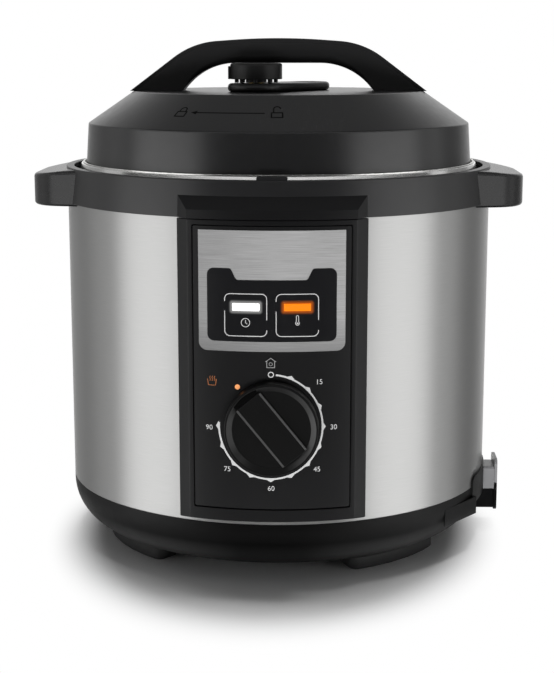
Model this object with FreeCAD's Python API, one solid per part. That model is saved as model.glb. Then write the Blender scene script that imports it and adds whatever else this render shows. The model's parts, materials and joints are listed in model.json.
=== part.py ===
"""Electric pressure cooker with a dial timer: steel drum, moulded base and collar, bayonet lid, lift-out pot.

Millimetres. The origin is the centre of the circle that the feet stand on, +Z is up and the control panel
faces -Y. At rest the lid is set down with its lugs in the gaps of the locking ring, ready to be turned shut.
"""
import FreeCAD
import Part
import math
import os

# Clearances
slip_gap = 0.3
film_gap = 0.1
fit_gap = 0.05
screw_gap = 0.2
bury = 1.0

# Drum, base and feet
body_radius = 145.0
shell_thickness = 0.6
shell_height = 192.3
base_height = 33.5
base_round = 30.0
base_wall = 2.5
spigot_height = 8.0
foot_height = 8.5
foot_width = 16.0
foot_span = 36.0
foot_turn = 36.0
foot_lap = 2.0
foot_bevel = 1.2
peg_radius = 4.0

# Cover under the base
access_radius = 45.0
cover_lap = 9.0
cover_thickness = 1.2
vent_count = 10
vent_width = 4.0
vent_inner = 16.0
vent_length = 20.0

# Collar round the top, its hood over the panel and its drain at the back
collar_height = 23.9
collar_overhang = 2.5
collar_rim = 7.0
collar_edge = 2.5
collar_inner_edge = 0.5
moat_fillet = 1.2
collar_skirt = 8.3
collar_wall = 2.5
moat_depth = 12.2
moat_width = 6.1
ledge_thickness = 3.0
hood_half_width = 58.0
hood_mitre = 5.4
hood_reach = 5.0
hood_top = 15.5
hood_bevel = 7.1
tab_width = 17.0
tab_height = 1.0
drain_reach = 16.0
drain_height = 14.7
drain_width = 6.0
drain_corner = 6.0

# Side grips
grip_reach = 20.5
grip_tip_half_width = 40.0
grip_root_half_width = 66.0
grip_root = 125.0
grip_corner = 28.0
grip_drop = 3.0
grip_top = 20.1
grip_slope = 2.4
grip_edge = 3.0
grip_wall = 3.0
grip_screw_pitch = 32.0
grip_screw_height = 4.7
grip_boss_radius = 5.0
grip_boss_length = 11.0

# Screws
screw_radius = 1.75
screw_head_radius = 3.6
screw_head_height = 2.2
screw_bite = 7.0
screw_tip = 1.0

# Control panel
panel_half_width = 58.3
panel_depth = 4.7
panel_mitre = 5.5
panel_low = 3.4
panel_top_gap = 0.6
panel_corner = 2.5
panel_back_depth = 7.0
panel_back_wall = 2.5
panel_back_inset = 6.3
panel_back_gap = 0.6
fascia_half_width = 48.4
fascia_thickness = 2.4
fascia_sink = 0.6
fascia_low = 8.1
fascia_top = 3.7
fascia_groove = 0.5
fascia_lip = 2.0
fascia_corner = 1.2
plate_half_width = 44.9
plate_drop = 2.3
plate_height = 74.2
plate_thickness = 0.5
plate_corner = 5.0
window_half_width = 39.5
window_low = 6.2
window_height = 44.9
window_corner = 4.0
window_thickness = 0.5
notch_depth = 7.0
notch_half_width = 25.0
notch_taper = 3.4
notch_corner = 2.0
lens_width = 16.4
lens_height = 4.4
lens_pitch = 31.4
lens_low = 21.4
lens_proud = 0.3
board_half_width = 33.0
board_height = 36.0
board_thickness = 1.6
board_depth = 4.0
led_radius = 2.5
led_length = 2.2
boss_radius = 3.5

# Timer and its knob
dial_height = 61.0
dial_rest_angle = -39.0
knob_radius = 28.9
knob_height = 9.4
knob_rim = 1.2
knob_edge = 0.6
knob_bowl_radius = 24.1
knob_bowl_depth = 2.4
knob_cover = 2.5
knob_lift = 0.8
grip_bar_width = 18.0
grip_bar_length = 46.8
grip_bar_round = 1.0
shaft_radius = 3.0
shaft_flat = 1.0
timer_half_width = 22.0
timer_half_height = 25.0
timer_thickness = 20.0
timer_bore_depth = 9.0
timer_boss_pitch = 32.0
spade_width = 6.3
spade_thickness = 0.8
spade_length = 8.0
spade_pitch = 14.0

# Locking ring
bayonet_count = 5
lock_height = 10.0
lock_thickness = 2.0
lock_foot = 10.4
lock_flange = 5.9
lock_tab = 7.0
lock_rim_height = 2.6
lock_rim_thickness = 1.2
tab_span = 30.0
ring_screw_inset = 6.0

# Heating chamber and inner pot
chamber_inset = 2.5
chamber_slack = 1.0
chamber_wall = 1.2
chamber_flange = 17.0
chamber_bevel = 6.0
chamber_hole = 17.0
pot_gap = 0.7
pot_rim = 3.3
pot_wall = 2.0
pot_floor = 3.0
pot_depth = 155.3
pot_round = 14.0
pot_rim_thickness = 2.0
rim_below_ledge = 5.7

# Heater, sensor and what hangs below the chamber
heater_inset = 15.0
heater_thickness = 12.0
heater_leg_height = 9.5
heater_leg_radius = 6.0
heater_leg_inset = 13.0
heater_leg_count = 3
heater_hole = 16.0
heater_bevel = 2.5
element_ring_radius = 62.0
element_radius = 4.0
element_gap_angle = 40.0
terminal_radius = 2.5
terminal_length = 20.0
terminal_hole = 4.5
sensor_radius = 13.0
sensor_height = 12.0
sensor_travel = 2.0
guide_wall = 1.5
guide_height = 21.0
guide_flange = 9.0
guide_flange_thickness = 1.2
bracket_half_length = 95.0
bracket_half_width = 15.0
bracket_foot = 15.0
bracket_thickness = 1.5
bracket_depth = 12.0
post_offset = 72.0
post_radius = 7.0
switch_length = 24.0
switch_width = 14.0
switch_height = 7.5
switch_offset = 42.0
plunger_radius = 2.0
fuse_radius = 3.0
fuse_length = 22.0
fuse_offset = 42.0

# Power inlet at the right side
tower_half_width = 59.0
tower_rise = 6.8
tower_drop = 12.0
tower_proud = 1.2
tower_corner = 5.0
guard_start = 39.0
guard_setback = 8.8
guard_half_width = 60.2
guard_end = 22.5
guard_wall = 1.6
guard_low = 15.9
guard_high = 27.5
guard_depth = 8.0
inlet_reach = 8.8
inlet_depth = 36.0
inlet_half_width = 10.5
inlet_low = 4.2
inlet_height = 30.4
flange_thickness = 1.9
flange_half_width = 12.0
flange_low = 3.0
flange_height = 37.3
hood_body_low = 18.3
hood_flange_low = 23.0
hood_wall = 2.0
hood_length = 8.0
socket_half_width = 6.5
socket_height = 14.0
socket_depth = 17.0
socket_low = 5.9
socket_corner = 4.0
pin_length = 12.0
pin_width = 1.6
pin_height = 5.0
pin_pitch = 4.2
pin_tail = 8.0

# Lid
lid_gap = 1.8
lid_inset = 2.5
lid_wall = 3.0
lid_skirt_height = 26.3
lid_skirt_draft = 1.8
lid_cone_height = 21.3
lid_cone_run = 31.2
lid_top_edge = 2.0
lid_crease_round = 2.0
dish_thickness = 2.0
dish_rim_drop = 4.0
dish_lug_gap = 1.2
dish_height = 14.0
dish_shoulder = 17.5
dish_bevel = 3.0
lug_run = 2.0
lug_reach = 7.0
lug_span = 30.0
stud_radius = 7.0

# Sealing ring and the rack that holds it
seal_gap = 0.6
seal_height = 11.1
seal_width = 12.4
seal_groove_width = 4.0
seal_groove_height = 1.8
seal_groove_low = 4.1
seal_corner = 2.0
rack_thickness = 1.2
rack_overlap = 2.5
rack_leg_thickness = 1.7
rack_leg_height = 14.0
rack_leg_span = 16.0
rack_leg_count = 5

# Lid handle
handle_half_span = 101.0
handle_inner_half = 65.3
handle_shoulder_half = 58.0
handle_shoulder_rise = 32.3
handle_crown_rise = 4.2
handle_shoulder_round = 55.0
handle_crown_round = 440.0
handle_under = 19.6
handle_under_half = 49.2
handle_under_round = 45.0
handle_half_width = 12.0
handle_cover = 4.6
handle_edge = 2.4
handle_screw_offset = 77.0
handle_screw_radius = 2.0
handle_screw_bite = 5.0

# Pressure release valve and float pin
valve_x = -14.0
valve_y = -31.0
float_x = 20.0
float_y = 20.0
valve_plate_thickness = 6.6
valve_plate_edge = 2.0
float_dish_radius = 10.5
float_dish_depth = 1.6
valve_lobe_radius = 19.0
float_lobe_radius = 15.0
valve_knob_radius = 17.5
valve_knob_height = 10.5
valve_knob_edge = 1.5
valve_knob_stand = 1.5
valve_hub_radius = 9.5
valve_post_radius = 1.4
valve_post_count = 8
valve_post_circle = 13.0
pointer_width = 5.0
pointer_reach = 1.5
pointer_height = 8.5
pipe_radius = 5.0
pipe_bore = 1.8
pipe_flange_radius = 9.0
pipe_flange_height = 4.0
pipe_head = 5.7
pipe_tail = 8.0
pipe_bevel = 1.2
nut_radius = 9.0
nut_height = 5.5
needle_radius = 2.5
needle_height = 3.2
needle_tip = 2.8
shield_radius = 14.0
shield_wall = 0.8
shield_height = 11.0
shield_bevel = 2.0
shield_slot_count = 8
shield_slot_width = 3.0
shield_slot_height = 5.0
float_radius = 4.0
float_bevel = 1.0
float_travel = 5.0
float_flange_radius = 6.5
float_flange_height = 2.0
float_seal_height = 2.0
float_seal_spare = 1.0

# Drip cup behind the collar
cup_half_width = 22.5
cup_flange = 3.2
cup_rim = 2.0
cup_height = 52.0
cup_depth = 18.0
cup_wall = 1.8
cup_corner = 7.0
cup_stand_off = 1.5
rail_wall = 2.5
rail_lip = 3.0
rail_lip_height = 2.0
rail_drop = 8.0

# Heights worked out from the sizes above
base_bottom = foot_height
floor_top = base_bottom + base_wall
shell_bottom = base_bottom + base_height
shell_top = shell_bottom + shell_height
collar_top = shell_top + collar_height
ledge_top = collar_top - moat_depth
ledge_bottom = ledge_top - ledge_thickness
lock_bottom = ledge_top + chamber_wall
lock_top = lock_bottom + lock_height
lock_rim_top = lock_top + lock_rim_height
lid_bottom = lock_top + lid_gap
lid_crease = lid_bottom + lid_skirt_height
lid_top = lid_crease + lid_cone_height
dish_flange_top = lock_top - lock_thickness - dish_lug_gap
dish_flange_bottom = dish_flange_top - dish_thickness
dish_top = dish_flange_top + dish_height
dish_ceiling = dish_top - dish_thickness
pot_top = ledge_top - rim_below_ledge
pot_bottom = pot_top - pot_depth
heater_top = pot_bottom - slip_gap
heater_bottom = heater_top - heater_thickness
chamber_floor = heater_bottom - heater_leg_height
chamber_bottom = chamber_floor - chamber_wall
bracket_bottom = chamber_bottom - bracket_depth
bracket_top = bracket_bottom + bracket_thickness
panel_bottom = shell_bottom + panel_low
panel_top = shell_top - panel_top_gap
panel_back_low = panel_bottom + panel_back_inset
panel_back_high = shell_top - collar_skirt - panel_back_gap
fascia_bottom = panel_bottom + fascia_low
fascia_end = panel_top - fascia_top
plate_top = fascia_end - plate_drop
plate_bottom = plate_top - plate_height
window_bottom = plate_bottom + window_low
window_top = window_bottom + window_height
lens_z = window_bottom + lens_low
dial_z = panel_bottom + dial_height
valve_plate_top = lid_top + valve_plate_thickness
valve_knob_bottom = valve_plate_top + slip_gap
valve_cap_bottom = valve_knob_bottom + valve_knob_stand
valve_knob_top = valve_cap_bottom + valve_knob_height
pipe_top = valve_plate_top + pipe_head
float_seal_top = dish_ceiling - float_travel - float_seal_spare
float_top = valve_plate_top - float_dish_depth - slip_gap
cup_top = shell_top - rail_drop + rail_lip_height + slip_gap + cup_rim
inlet_bottom = base_bottom + inlet_low
inlet_top = inlet_bottom + inlet_height
grip_bottom = shell_top - grip_drop
screw_lift = shell_top + grip_screw_height

# Radii and depths worked out from the sizes above
shell_inner = body_radius - shell_thickness
spigot_outer = shell_inner - screw_gap
spigot_inner = spigot_outer - base_wall
collar_outer = body_radius + collar_overhang
moat_outer = collar_outer - collar_rim
lock_radius = moat_outer - moat_width
lock_wall_inner = lock_radius - lock_thickness
lock_foot_inner = lock_radius - lock_foot
lock_flange_inner = lock_radius - lock_flange
lock_tab_inner = lock_flange_inner - lock_tab
ring_screw_circle = lock_radius - ring_screw_inset
lid_radius = lock_radius - lid_inset
lid_crease_radius = lid_radius - lid_skirt_draft
lid_top_radius = lid_crease_radius - lid_cone_run
dish_radius = lock_tab_inner - lug_run
dish_rim_inner = dish_radius - dish_thickness
dish_wall_radius = dish_radius - dish_shoulder
dish_wall_inner = dish_wall_radius - dish_thickness
chamber_radius = dish_radius - chamber_inset
chamber_outer = chamber_radius + chamber_wall
ledge_inner = chamber_outer + chamber_slack
pot_rim_radius = chamber_radius - pot_gap
pot_radius = pot_rim_radius - pot_rim
pot_inner = pot_radius - pot_wall
seal_outer = chamber_radius - seal_gap
seal_inner = seal_outer - seal_width
heater_radius = pot_radius - heater_inset
grip_outer = collar_outer + grip_reach
panel_back = body_radius + slip_gap
panel_front = panel_back + panel_depth
panel_rear = panel_back - panel_back_depth
fascia_front = panel_front - fascia_sink
fascia_back = fascia_front - fascia_thickness
fascia_ledge = fascia_back - film_gap
plate_back = fascia_front + film_gap
plate_front = plate_back + plate_thickness
window_back = plate_front + film_gap
window_front = window_back + window_thickness
lens_front = window_front + lens_proud
board_front = panel_rear + board_depth - film_gap
knob_back = fascia_front + knob_lift
knob_face = knob_back + knob_height
shaft_end = knob_face - knob_cover
lens_x = lens_pitch / 2
inlet_back = body_radius + inlet_reach - inlet_depth
inlet_front = body_radius + inlet_reach
flange_front = inlet_front + flange_thickness
drain_outer = collar_outer + drain_reach

# Long enough to pass through everything
beyond = 4 * body_radius


# Building blocks
def rounded_wire(corners, place):
    """A closed wire through corners (u, v, radius): no radius stays sharp, a negative one bevels."""
    points = [FreeCAD.Vector(c[0], c[1], 0) for c in corners]
    stretches = []
    for i, here in enumerate(points):
        radius = corners[i][2] if len(corners[i]) > 2 else 0
        if radius == 0:
            stretches.append([here])
            continue
        back = (points[i - 1] - here).normalize()
        ahead = (points[(i + 1) % len(points)] - here).normalize()
        if radius < 0:
            stretches.append([here - back * radius, here - ahead * radius])
            continue
        half = back.getAngle(ahead) / 2
        middle = (back + ahead).normalize()
        reach = radius / math.tan(half)
        nearest = here + middle * (radius / math.sin(half) - radius)
        stretches.append([here + back * reach, nearest, here + ahead * reach])
    edges = []
    for i, stretch in enumerate(stretches):
        if len(stretch) == 3:
            edges.append(Part.Arc(*[place(p) for p in stretch]).toShape())
        if len(stretch) == 2:
            edges.append(Part.makeLine(*[place(p) for p in stretch]))
        following = stretches[(i + 1) % len(stretches)][0]
        if not stretch[-1].isEqual(following, 1e-6):
            edges.append(Part.makeLine(place(stretch[-1]), place(following)))
    return Part.Wire(edges)


def solid(shape):
    """The shape without leftover seams, as a bare solid where it is one."""
    clean = shape.removeSplitter()
    return clean.Solids[0] if len(clean.Solids) == 1 else clean


def spin(corners):
    """A body of revolution about the Z axis from corners (radius, height, rounding)."""
    face = Part.Face(rounded_wire(corners, lambda p: FreeCAD.Vector(p.x, 0, p.y)))
    return face.revolve(FreeCAD.Vector(0, 0, 0), FreeCAD.Vector(0, 0, 1), 360)


def ring(outer, inner, low, high):
    return spin([(inner, low), (outer, low), (outer, high), (inner, high)])


def disc(radius, low, high, x=0, y=0):
    return Part.makeCylinder(radius, high - low, FreeCAD.Vector(x, y, low))


def rod(radius, start, direction, length):
    return Part.makeCylinder(radius, length, FreeCAD.Vector(*start), FreeCAD.Vector(*direction))


def block(x0, x1, y0, y1, z0, z1):
    return Part.makeBox(x1 - x0, y1 - y0, z1 - z0, FreeCAD.Vector(x0, y0, z0))


def plan_prism(corners, low, high):
    """Corners (x, y, rounding) in plan, raised from low to high."""
    face = Part.Face(rounded_wire(corners, lambda p: FreeCAD.Vector(p.x, p.y, low)))
    return face.extrude(FreeCAD.Vector(0, 0, high - low))


def front_prism(corners, y0, y1):
    """Corners (x, z, rounding) seen from the front, drawn out from y0 to y1."""
    face = Part.Face(rounded_wire(corners, lambda p: FreeCAD.Vector(p.x, y0, p.y)))
    return face.extrude(FreeCAD.Vector(0, y1 - y0, 0))


def side_prism(corners, x0, x1):
    """Corners (y, z, rounding) seen from the side, drawn out from x0 to x1."""
    face = Part.Face(rounded_wire(corners, lambda p: FreeCAD.Vector(x0, p.x, p.y)))
    return face.extrude(FreeCAD.Vector(x1 - x0, 0, 0))


def box_corners(half_width, low, high, low_round=0, high_round=0, centre=0):
    left = centre - half_width
    right = centre + half_width
    return [(left, low, low_round), (right, low, low_round),
            (right, high, high_round), (left, high, high_round)]


def curved_plate(corners, inner, outer):
    """A plate bent round the drum's axis, with the given outline as seen from the front."""
    heights = [c[1] for c in corners]
    wall = ring(outer, inner, min(heights) - bury, max(heights) + bury)
    return wall.common(front_prism(corners, -beyond, 0))


def sloping_ends(root_half, root_radius, mitre, front_radius):
    """A block over the front of the drum whose ends close in by mitre between a root and a front radius."""
    front_half = root_half - mitre
    root = -math.sqrt(root_radius ** 2 - root_half ** 2)
    front = -math.sqrt(front_radius ** 2 - front_half ** 2)
    right = [(root_half, 0), (root_half, root), (front_half, front), (front_half, -beyond)]
    left = [(-x, y) for x, y in reversed(right)]
    return plan_prism(right + left, 0, beyond)


def sector(inner, outer, low, high, middle, span):
    """A piece of a ring, centred on an angle counted from +X."""
    foot = FreeCAD.Vector(0, 0, low)
    piece = Part.makeCylinder(outer, high - low, foot, FreeCAD.Vector(0, 0, 1), span)
    piece = piece.cut(disc(inner, low, high))
    piece.rotate(FreeCAD.Vector(0, 0, 0), FreeCAD.Vector(0, 0, 1), middle - span / 2)
    return piece


def around(count, start=0.0):
    """Evenly spread angles in degrees."""
    return [start + 360 / count * i for i in range(count)]


def polar(radius, angle):
    return radius * math.cos(math.radians(angle)), radius * math.sin(math.radians(angle))


def pan_screw(x, y, head_top, shank_length):
    """A screw driven up from below; head_top is the face that the head bears on."""
    head = disc(screw_head_radius, head_top - screw_head_height, head_top, x, y)
    return solid(head.fuse(disc(screw_radius, head_top, head_top + shank_length, x, y)))


def mirrored_front(shape):
    return shape.mirror(FreeCAD.Vector(0, 0, 0), FreeCAD.Vector(0, 1, 0))


def mirrored(shape):
    return shape.mirror(FreeCAD.Vector(0, 0, 0), FreeCAD.Vector(1, 0, 0))


# Places that several pieces share
foot_angles = [foot_turn, 180 - foot_turn, 180 + foot_turn, -foot_turn]
foot_outer = body_radius - base_round + foot_lap
foot_inner = foot_outer - foot_width
foot_middle = (foot_outer + foot_inner) / 2
guard_reach = body_radius - guard_setback
cover_radius = access_radius + cover_lap
cover_screw_circle = access_radius + cover_lap / 2
cover_screw_angles = around(3, 30)
cover_screw_length = cover_thickness + screw_bite
lock_tab_angles = around(bayonet_count, 90)
lug_angles = around(bayonet_count, 90 + 180 / bayonet_count)
heater_leg_angles = around(heater_leg_count, 90)
heater_leg_circle = heater_radius - heater_leg_inset
terminal_angles = [-90 - element_gap_angle / 2, -90 + element_gap_angle / 2]
terminal_places = [polar(element_ring_radius, a) for a in terminal_angles]
board_bosses = [(sx * (board_half_width - boss_radius), lens_z + sz * (board_height / 2 - boss_radius))
                for sx in (-1, 1) for sz in (-1, 1)]
timer_bosses = [(sx * timer_boss_pitch / 2, dial_z + sz * timer_boss_pitch / 2)
                for sx in (-1, 1) for sz in (-1, 1)]


# Base and what closes it below
def tower_outline(spare):
    top = shell_bottom + tower_rise + spare
    low = shell_bottom - tower_drop - spare
    return box_corners(tower_half_width + spare, low, top, 0, tower_corner)


def make_guard():
    """A low wall that leaves the base's round beside the inlet, with a slot open at the top behind it."""
    start = polar(body_radius, -guard_start)
    end = (guard_reach, -guard_half_width)
    low = base_bottom + guard_low
    high = base_bottom + guard_high
    outside = plan_prism([start, end, polar(body_radius - bury, -guard_end),
                          polar(body_radius - bury, -guard_start)], low, high)
    run = math.hypot(end[0] - start[0], end[1] - start[1])
    step_x = (end[0] - start[0]) / run * guard_wall
    step_y = (end[1] - start[1]) / run * guard_wall
    slot = plan_prism([(start[0] - step_y, start[1] + step_x),
                       (end[0] - step_y - step_x, end[1] + step_x - step_y),
                       polar(body_radius - bury, -guard_end - guard_wall),
                       polar(body_radius - bury, -guard_start)], high - guard_depth, high)
    return outside.cut(slot.cut(disc(body_radius, 0, beyond)))


def make_base():
    bowl = spin([
        (access_radius, base_bottom),
        (body_radius, base_bottom, base_round),
        (body_radius, shell_bottom),
        (spigot_outer, shell_bottom),
        (spigot_outer, shell_bottom + spigot_height),
        (spigot_inner, shell_bottom + spigot_height),
        (spigot_inner, floor_top, base_round - base_wall),
        (access_radius, floor_top),
    ])
    wall = ring(body_radius + tower_proud, spigot_inner,
                shell_bottom - tower_drop, shell_bottom + tower_rise)
    tower = wall.common(side_prism(tower_outline(0), 0, beyond))
    parts = [tower, make_guard(), mirrored_front(make_guard())]
    pocket_half = inlet_half_width + slip_gap
    cuts = [block(inlet_back - pin_tail - slip_gap, beyond, -pocket_half, pocket_half,
                  inlet_bottom - slip_gap, inlet_top + slip_gap)]
    head_top = base_bottom + screw_head_height
    for x in (-post_offset, post_offset):
        parts.append(disc(post_radius, base_bottom, bracket_bottom, x))
        cuts.append(disc(screw_head_radius + screw_gap, base_bottom, head_top, x))
        cuts.append(disc(screw_radius + fit_gap, base_bottom, bracket_bottom, x))
    for angle in cover_screw_angles:
        x, y = polar(cover_screw_circle, angle)
        parts.append(disc(screw_head_radius, base_bottom, base_bottom + screw_bite + base_wall, x, y))
        cuts.append(disc(screw_radius + fit_gap, base_bottom, base_bottom + screw_bite, x, y))
    for angle in foot_angles:
        x, y = polar(foot_middle, angle)
        cuts.append(disc(peg_radius + screw_gap, base_bottom, floor_top, x, y))
    return solid(bowl.fuse(parts).cut(cuts))


def make_feet():
    feet = []
    for angle in foot_angles:
        pad = sector(foot_inner, foot_outer, 0, foot_height, angle, foot_span)
        bottom_edges = [e for e in pad.Edges if e.BoundBox.ZMax < foot_bevel]
        pad = pad.makeChamfer(foot_bevel, bottom_edges)
        x, y = polar(foot_middle, angle)
        feet.append(solid(pad.fuse(disc(peg_radius, foot_height, floor_top, x, y))))
    return Part.makeCompound(feet)


def make_bottom_cover():
    plate = disc(cover_radius, base_bottom - cover_thickness, base_bottom)
    cuts = []
    for angle in around(vent_count):
        slot = plan_prism([
            (vent_inner, -vent_width / 2, vent_width / 2),
            (vent_inner + vent_length, -vent_width / 2, vent_width / 2),
            (vent_inner + vent_length, vent_width / 2, vent_width / 2),
            (vent_inner, vent_width / 2, vent_width / 2),
        ], 0, base_bottom)
        slot.rotate(FreeCAD.Vector(0, 0, 0), FreeCAD.Vector(0, 0, 1), angle)
        cuts.append(slot)
    for angle in cover_screw_angles:
        cuts.append(disc(screw_radius + screw_gap, 0, base_bottom, *polar(cover_screw_circle, angle)))
    return solid(plate.cut(cuts))


def make_base_screws():
    head_top = base_bottom - cover_thickness
    places = [polar(cover_screw_circle, a) for a in cover_screw_angles]
    length = cover_screw_length - screw_gap
    return Part.makeCompound([pan_screw(x, y, head_top, length) for x, y in places])


def make_bracket_screws():
    head_top = base_bottom + screw_head_height
    length = bracket_top - head_top
    return Part.makeCompound([pan_screw(side * post_offset, 0, head_top, length) for side in (-1, 1)])


def make_outer_shell():
    tube = ring(body_radius, shell_inner, shell_bottom, shell_top)
    window_half = panel_half_width - panel_back_inset + panel_back_gap
    window_outline = box_corners(window_half, panel_back_low - panel_back_gap,
                                 panel_back_high + panel_back_gap)
    window = front_prism(window_outline, -beyond, 0)
    notch = side_prism(tower_outline(slip_gap), 0, beyond)
    return solid(tube.cut([window, notch]))


# Collar, grips and the ring that the lid locks into
def make_collar():
    body = spin([
        (collar_outer, shell_top),
        (collar_outer, collar_top, collar_edge),
        (moat_outer, collar_top, -collar_inner_edge),
        (moat_outer, ledge_top, -moat_fillet),
        (ledge_inner, ledge_top),
        (ledge_inner, ledge_bottom),
        (spigot_inner, ledge_bottom),
        (spigot_inner, shell_top - collar_skirt),
        (spigot_outer, shell_top - collar_skirt),
        (spigot_outer, shell_top),
    ])
    hood_front = collar_outer + hood_reach
    hood = spin([
        (spigot_outer, shell_top),
        (hood_front, shell_top),
        (hood_front, shell_top + hood_bevel),
        (collar_outer, shell_top + hood_top),
        (spigot_outer, shell_top + hood_top),
    ])
    hood = hood.common(sloping_ends(hood_half_width, collar_outer, hood_mitre, hood_front))
    tab_ring = ring(collar_outer - collar_edge, moat_outer + collar_inner_edge,
                    collar_top - bury, collar_top + tab_height)
    tab = tab_ring.common(block(-tab_width / 2, tab_width / 2, -beyond, 0, 0, beyond))
    drain_half = cup_half_width + rail_lip + slip_gap + rail_wall
    drain = plan_prism([
        (-drain_half, spigot_outer - collar_wall),
        (drain_half, spigot_outer - collar_wall),
        (drain_half, drain_outer, drain_corner),
        (-drain_half, drain_outer, drain_corner),
    ], shell_top, shell_top + drain_height)
    drain = drain.cut(disc(spigot_outer, 0, beyond))
    parts = [hood, tab, drain]
    for side in (-1, 1):
        inner = drain_half - rail_wall
        low = shell_top - rail_drop
        rail = front_prism([
            (side * drain_half, low),
            (side * drain_half, shell_top),
            (side * inner, shell_top),
            (side * inner, low + rail_lip_height),
            (side * (inner - rail_lip), low + rail_lip_height),
            (side * (inner - rail_lip), low),
        ], body_radius + cup_stand_off, drain_outer - drain_corner)
        parts.append(rail)
    channel_half = drain_width / 2
    channel_low = ledge_top - drain_width
    channel_end = collar_outer + drain_reach / 2
    cuts = [
        block(-channel_half, channel_half, moat_outer - drain_width, channel_end, channel_low, ledge_top),
        block(-channel_half, channel_half, channel_end - drain_width, channel_end, shell_top, ledge_top),
    ]
    for side in (-1, 1):
        for y in (-grip_screw_pitch / 2, grip_screw_pitch / 2):
            centre = (0, y, screw_lift)
            cuts.append(rod(screw_radius + screw_gap, centre, (side, 0, 0), beyond))
            cuts.append(rod(screw_head_radius + screw_gap, centre, (side, 0, 0), grip_head_seat()))
    for angle in lock_tab_angles:
        x, y = polar(ring_screw_circle, angle)
        cuts.append(disc(screw_radius + fit_gap, ledge_bottom, ledge_top, x, y))
    return solid(body.fuse(parts).cut(cuts))


def grip_head_seat():
    """How far out from the axis the grip screws' heads bear, inside the collar's lower wall."""
    reach = grip_screw_pitch / 2 + screw_head_radius
    return math.sqrt(spigot_inner ** 2 - reach ** 2) + collar_wall / 2


def grip_screw_length():
    return grip_outer - grip_reach - grip_head_seat() + screw_bite


def grip_plan(inset, low, high):
    """The grip seen from above, a wing that narrows outwards, with its faces moved in by inset."""
    lean = math.atan2(grip_root_half_width - grip_tip_half_width, grip_outer - grip_root)
    root = grip_root_half_width - inset / math.cos(lean)
    tip = grip_tip_half_width - inset * (1 - math.sin(lean)) / math.cos(lean)
    corners = [
        (grip_root, -root),
        (grip_outer - inset, -tip, grip_corner - inset),
        (grip_outer - inset, tip, grip_corner - inset),
        (grip_root, root),
    ]
    return plan_prism(corners, low, high)


def make_right_grip():
    top = shell_top + grip_top
    inner_rise = grip_slope * (collar_outer - grip_root) / grip_reach
    section = front_prism([
        (grip_root, grip_bottom + inner_rise),
        (grip_outer, grip_bottom - grip_slope, grip_edge),
        (grip_outer, top - grip_slope, grip_edge),
        (grip_root, top + inner_rise),
    ], -grip_root_half_width, grip_root_half_width)
    hollow = grip_plan(grip_wall, 0, top - grip_slope - grip_wall)
    hollow = hollow.cut(disc(collar_outer + slip_gap + grip_wall, 0, beyond))
    grip = section.common(grip_plan(0, 0, beyond)).cut(hollow)
    for y in (-grip_screw_pitch / 2, grip_screw_pitch / 2):
        boss_start = (collar_outer - slip_gap, y, screw_lift)
        grip = grip.fuse(rod(grip_boss_radius, boss_start, (1, 0, 0), grip_boss_length))
    shoulder = shell_top - slip_gap
    cuts = [disc(collar_outer + slip_gap, shoulder, beyond), disc(body_radius + slip_gap, 0, shoulder)]
    for y in (-grip_screw_pitch / 2, grip_screw_pitch / 2):
        cuts.append(rod(screw_radius + fit_gap, (0, y, screw_lift), (1, 0, 0),
                        grip_head_seat() + grip_screw_length() + slip_gap))
    return solid(grip.cut(cuts))


def make_grip_screws():
    screws = []
    for side in (-1, 1):
        for y in (-grip_screw_pitch / 2, grip_screw_pitch / 2):
            seat = side * grip_head_seat()
            head_start = (seat - side * screw_head_height, y, screw_lift)
            head = rod(screw_head_radius, head_start, (side, 0, 0), screw_head_height)
            shank = rod(screw_radius, (seat, y, screw_lift), (side, 0, 0), grip_screw_length())
            screws.append(solid(head.fuse(shank)))
    return Part.makeCompound(screws)


def make_locking_ring():
    body = spin([
        (lock_foot_inner, lock_bottom),
        (lock_radius, lock_bottom),
        (lock_radius, lock_rim_top, lock_rim_thickness / 3),
        (lock_radius - lock_rim_thickness, lock_rim_top, lock_rim_thickness / 3),
        (lock_radius - lock_rim_thickness, lock_top),
        (lock_flange_inner, lock_top),
        (lock_flange_inner, lock_top - lock_thickness),
        (lock_wall_inner, lock_top - lock_thickness),
        (lock_wall_inner, lock_bottom + lock_thickness),
        (lock_foot_inner, lock_bottom + lock_thickness),
    ])
    tab_outer = lock_flange_inner + lock_thickness
    tab_low = lock_top - lock_thickness
    tabs = []
    holes = []
    for angle in lock_tab_angles:
        x, y = polar(ring_screw_circle, angle)
        tabs.append(sector(lock_tab_inner, tab_outer, tab_low, lock_top, angle, tab_span))
        holes.append(disc(screw_radius + screw_gap, lock_bottom, lock_bottom + lock_thickness, x, y))
    return solid(body.fuse(tabs).cut(holes))


def make_ring_screws():
    seat = lock_bottom + lock_thickness
    low = ledge_bottom - screw_tip
    screws = []
    for angle in lock_tab_angles:
        x, y = polar(ring_screw_circle, angle)
        head = disc(screw_head_radius, seat, seat + screw_head_height, x, y)
        screws.append(solid(head.fuse(disc(screw_radius, low, seat, x, y))))
    return Part.makeCompound(screws)


# Heating chamber, pot and heater
def make_outer_pot():
    can = spin([
        (chamber_hole, chamber_bottom),
        (chamber_outer, chamber_bottom, -chamber_bevel),
        (chamber_outer, ledge_top),
        (chamber_radius + chamber_flange, ledge_top),
        (chamber_radius + chamber_flange, lock_bottom),
        (chamber_radius, lock_bottom),
        (chamber_radius, chamber_floor, -chamber_bevel),
        (chamber_hole, chamber_floor),
    ])
    cuts = [disc(terminal_hole, chamber_bottom, chamber_floor, x, y) for x, y in terminal_places]
    for angle in lock_tab_angles:
        cuts.append(disc(screw_radius + screw_gap, ledge_top, lock_bottom, *polar(ring_screw_circle, angle)))
    return solid(can.cut(cuts))


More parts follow.
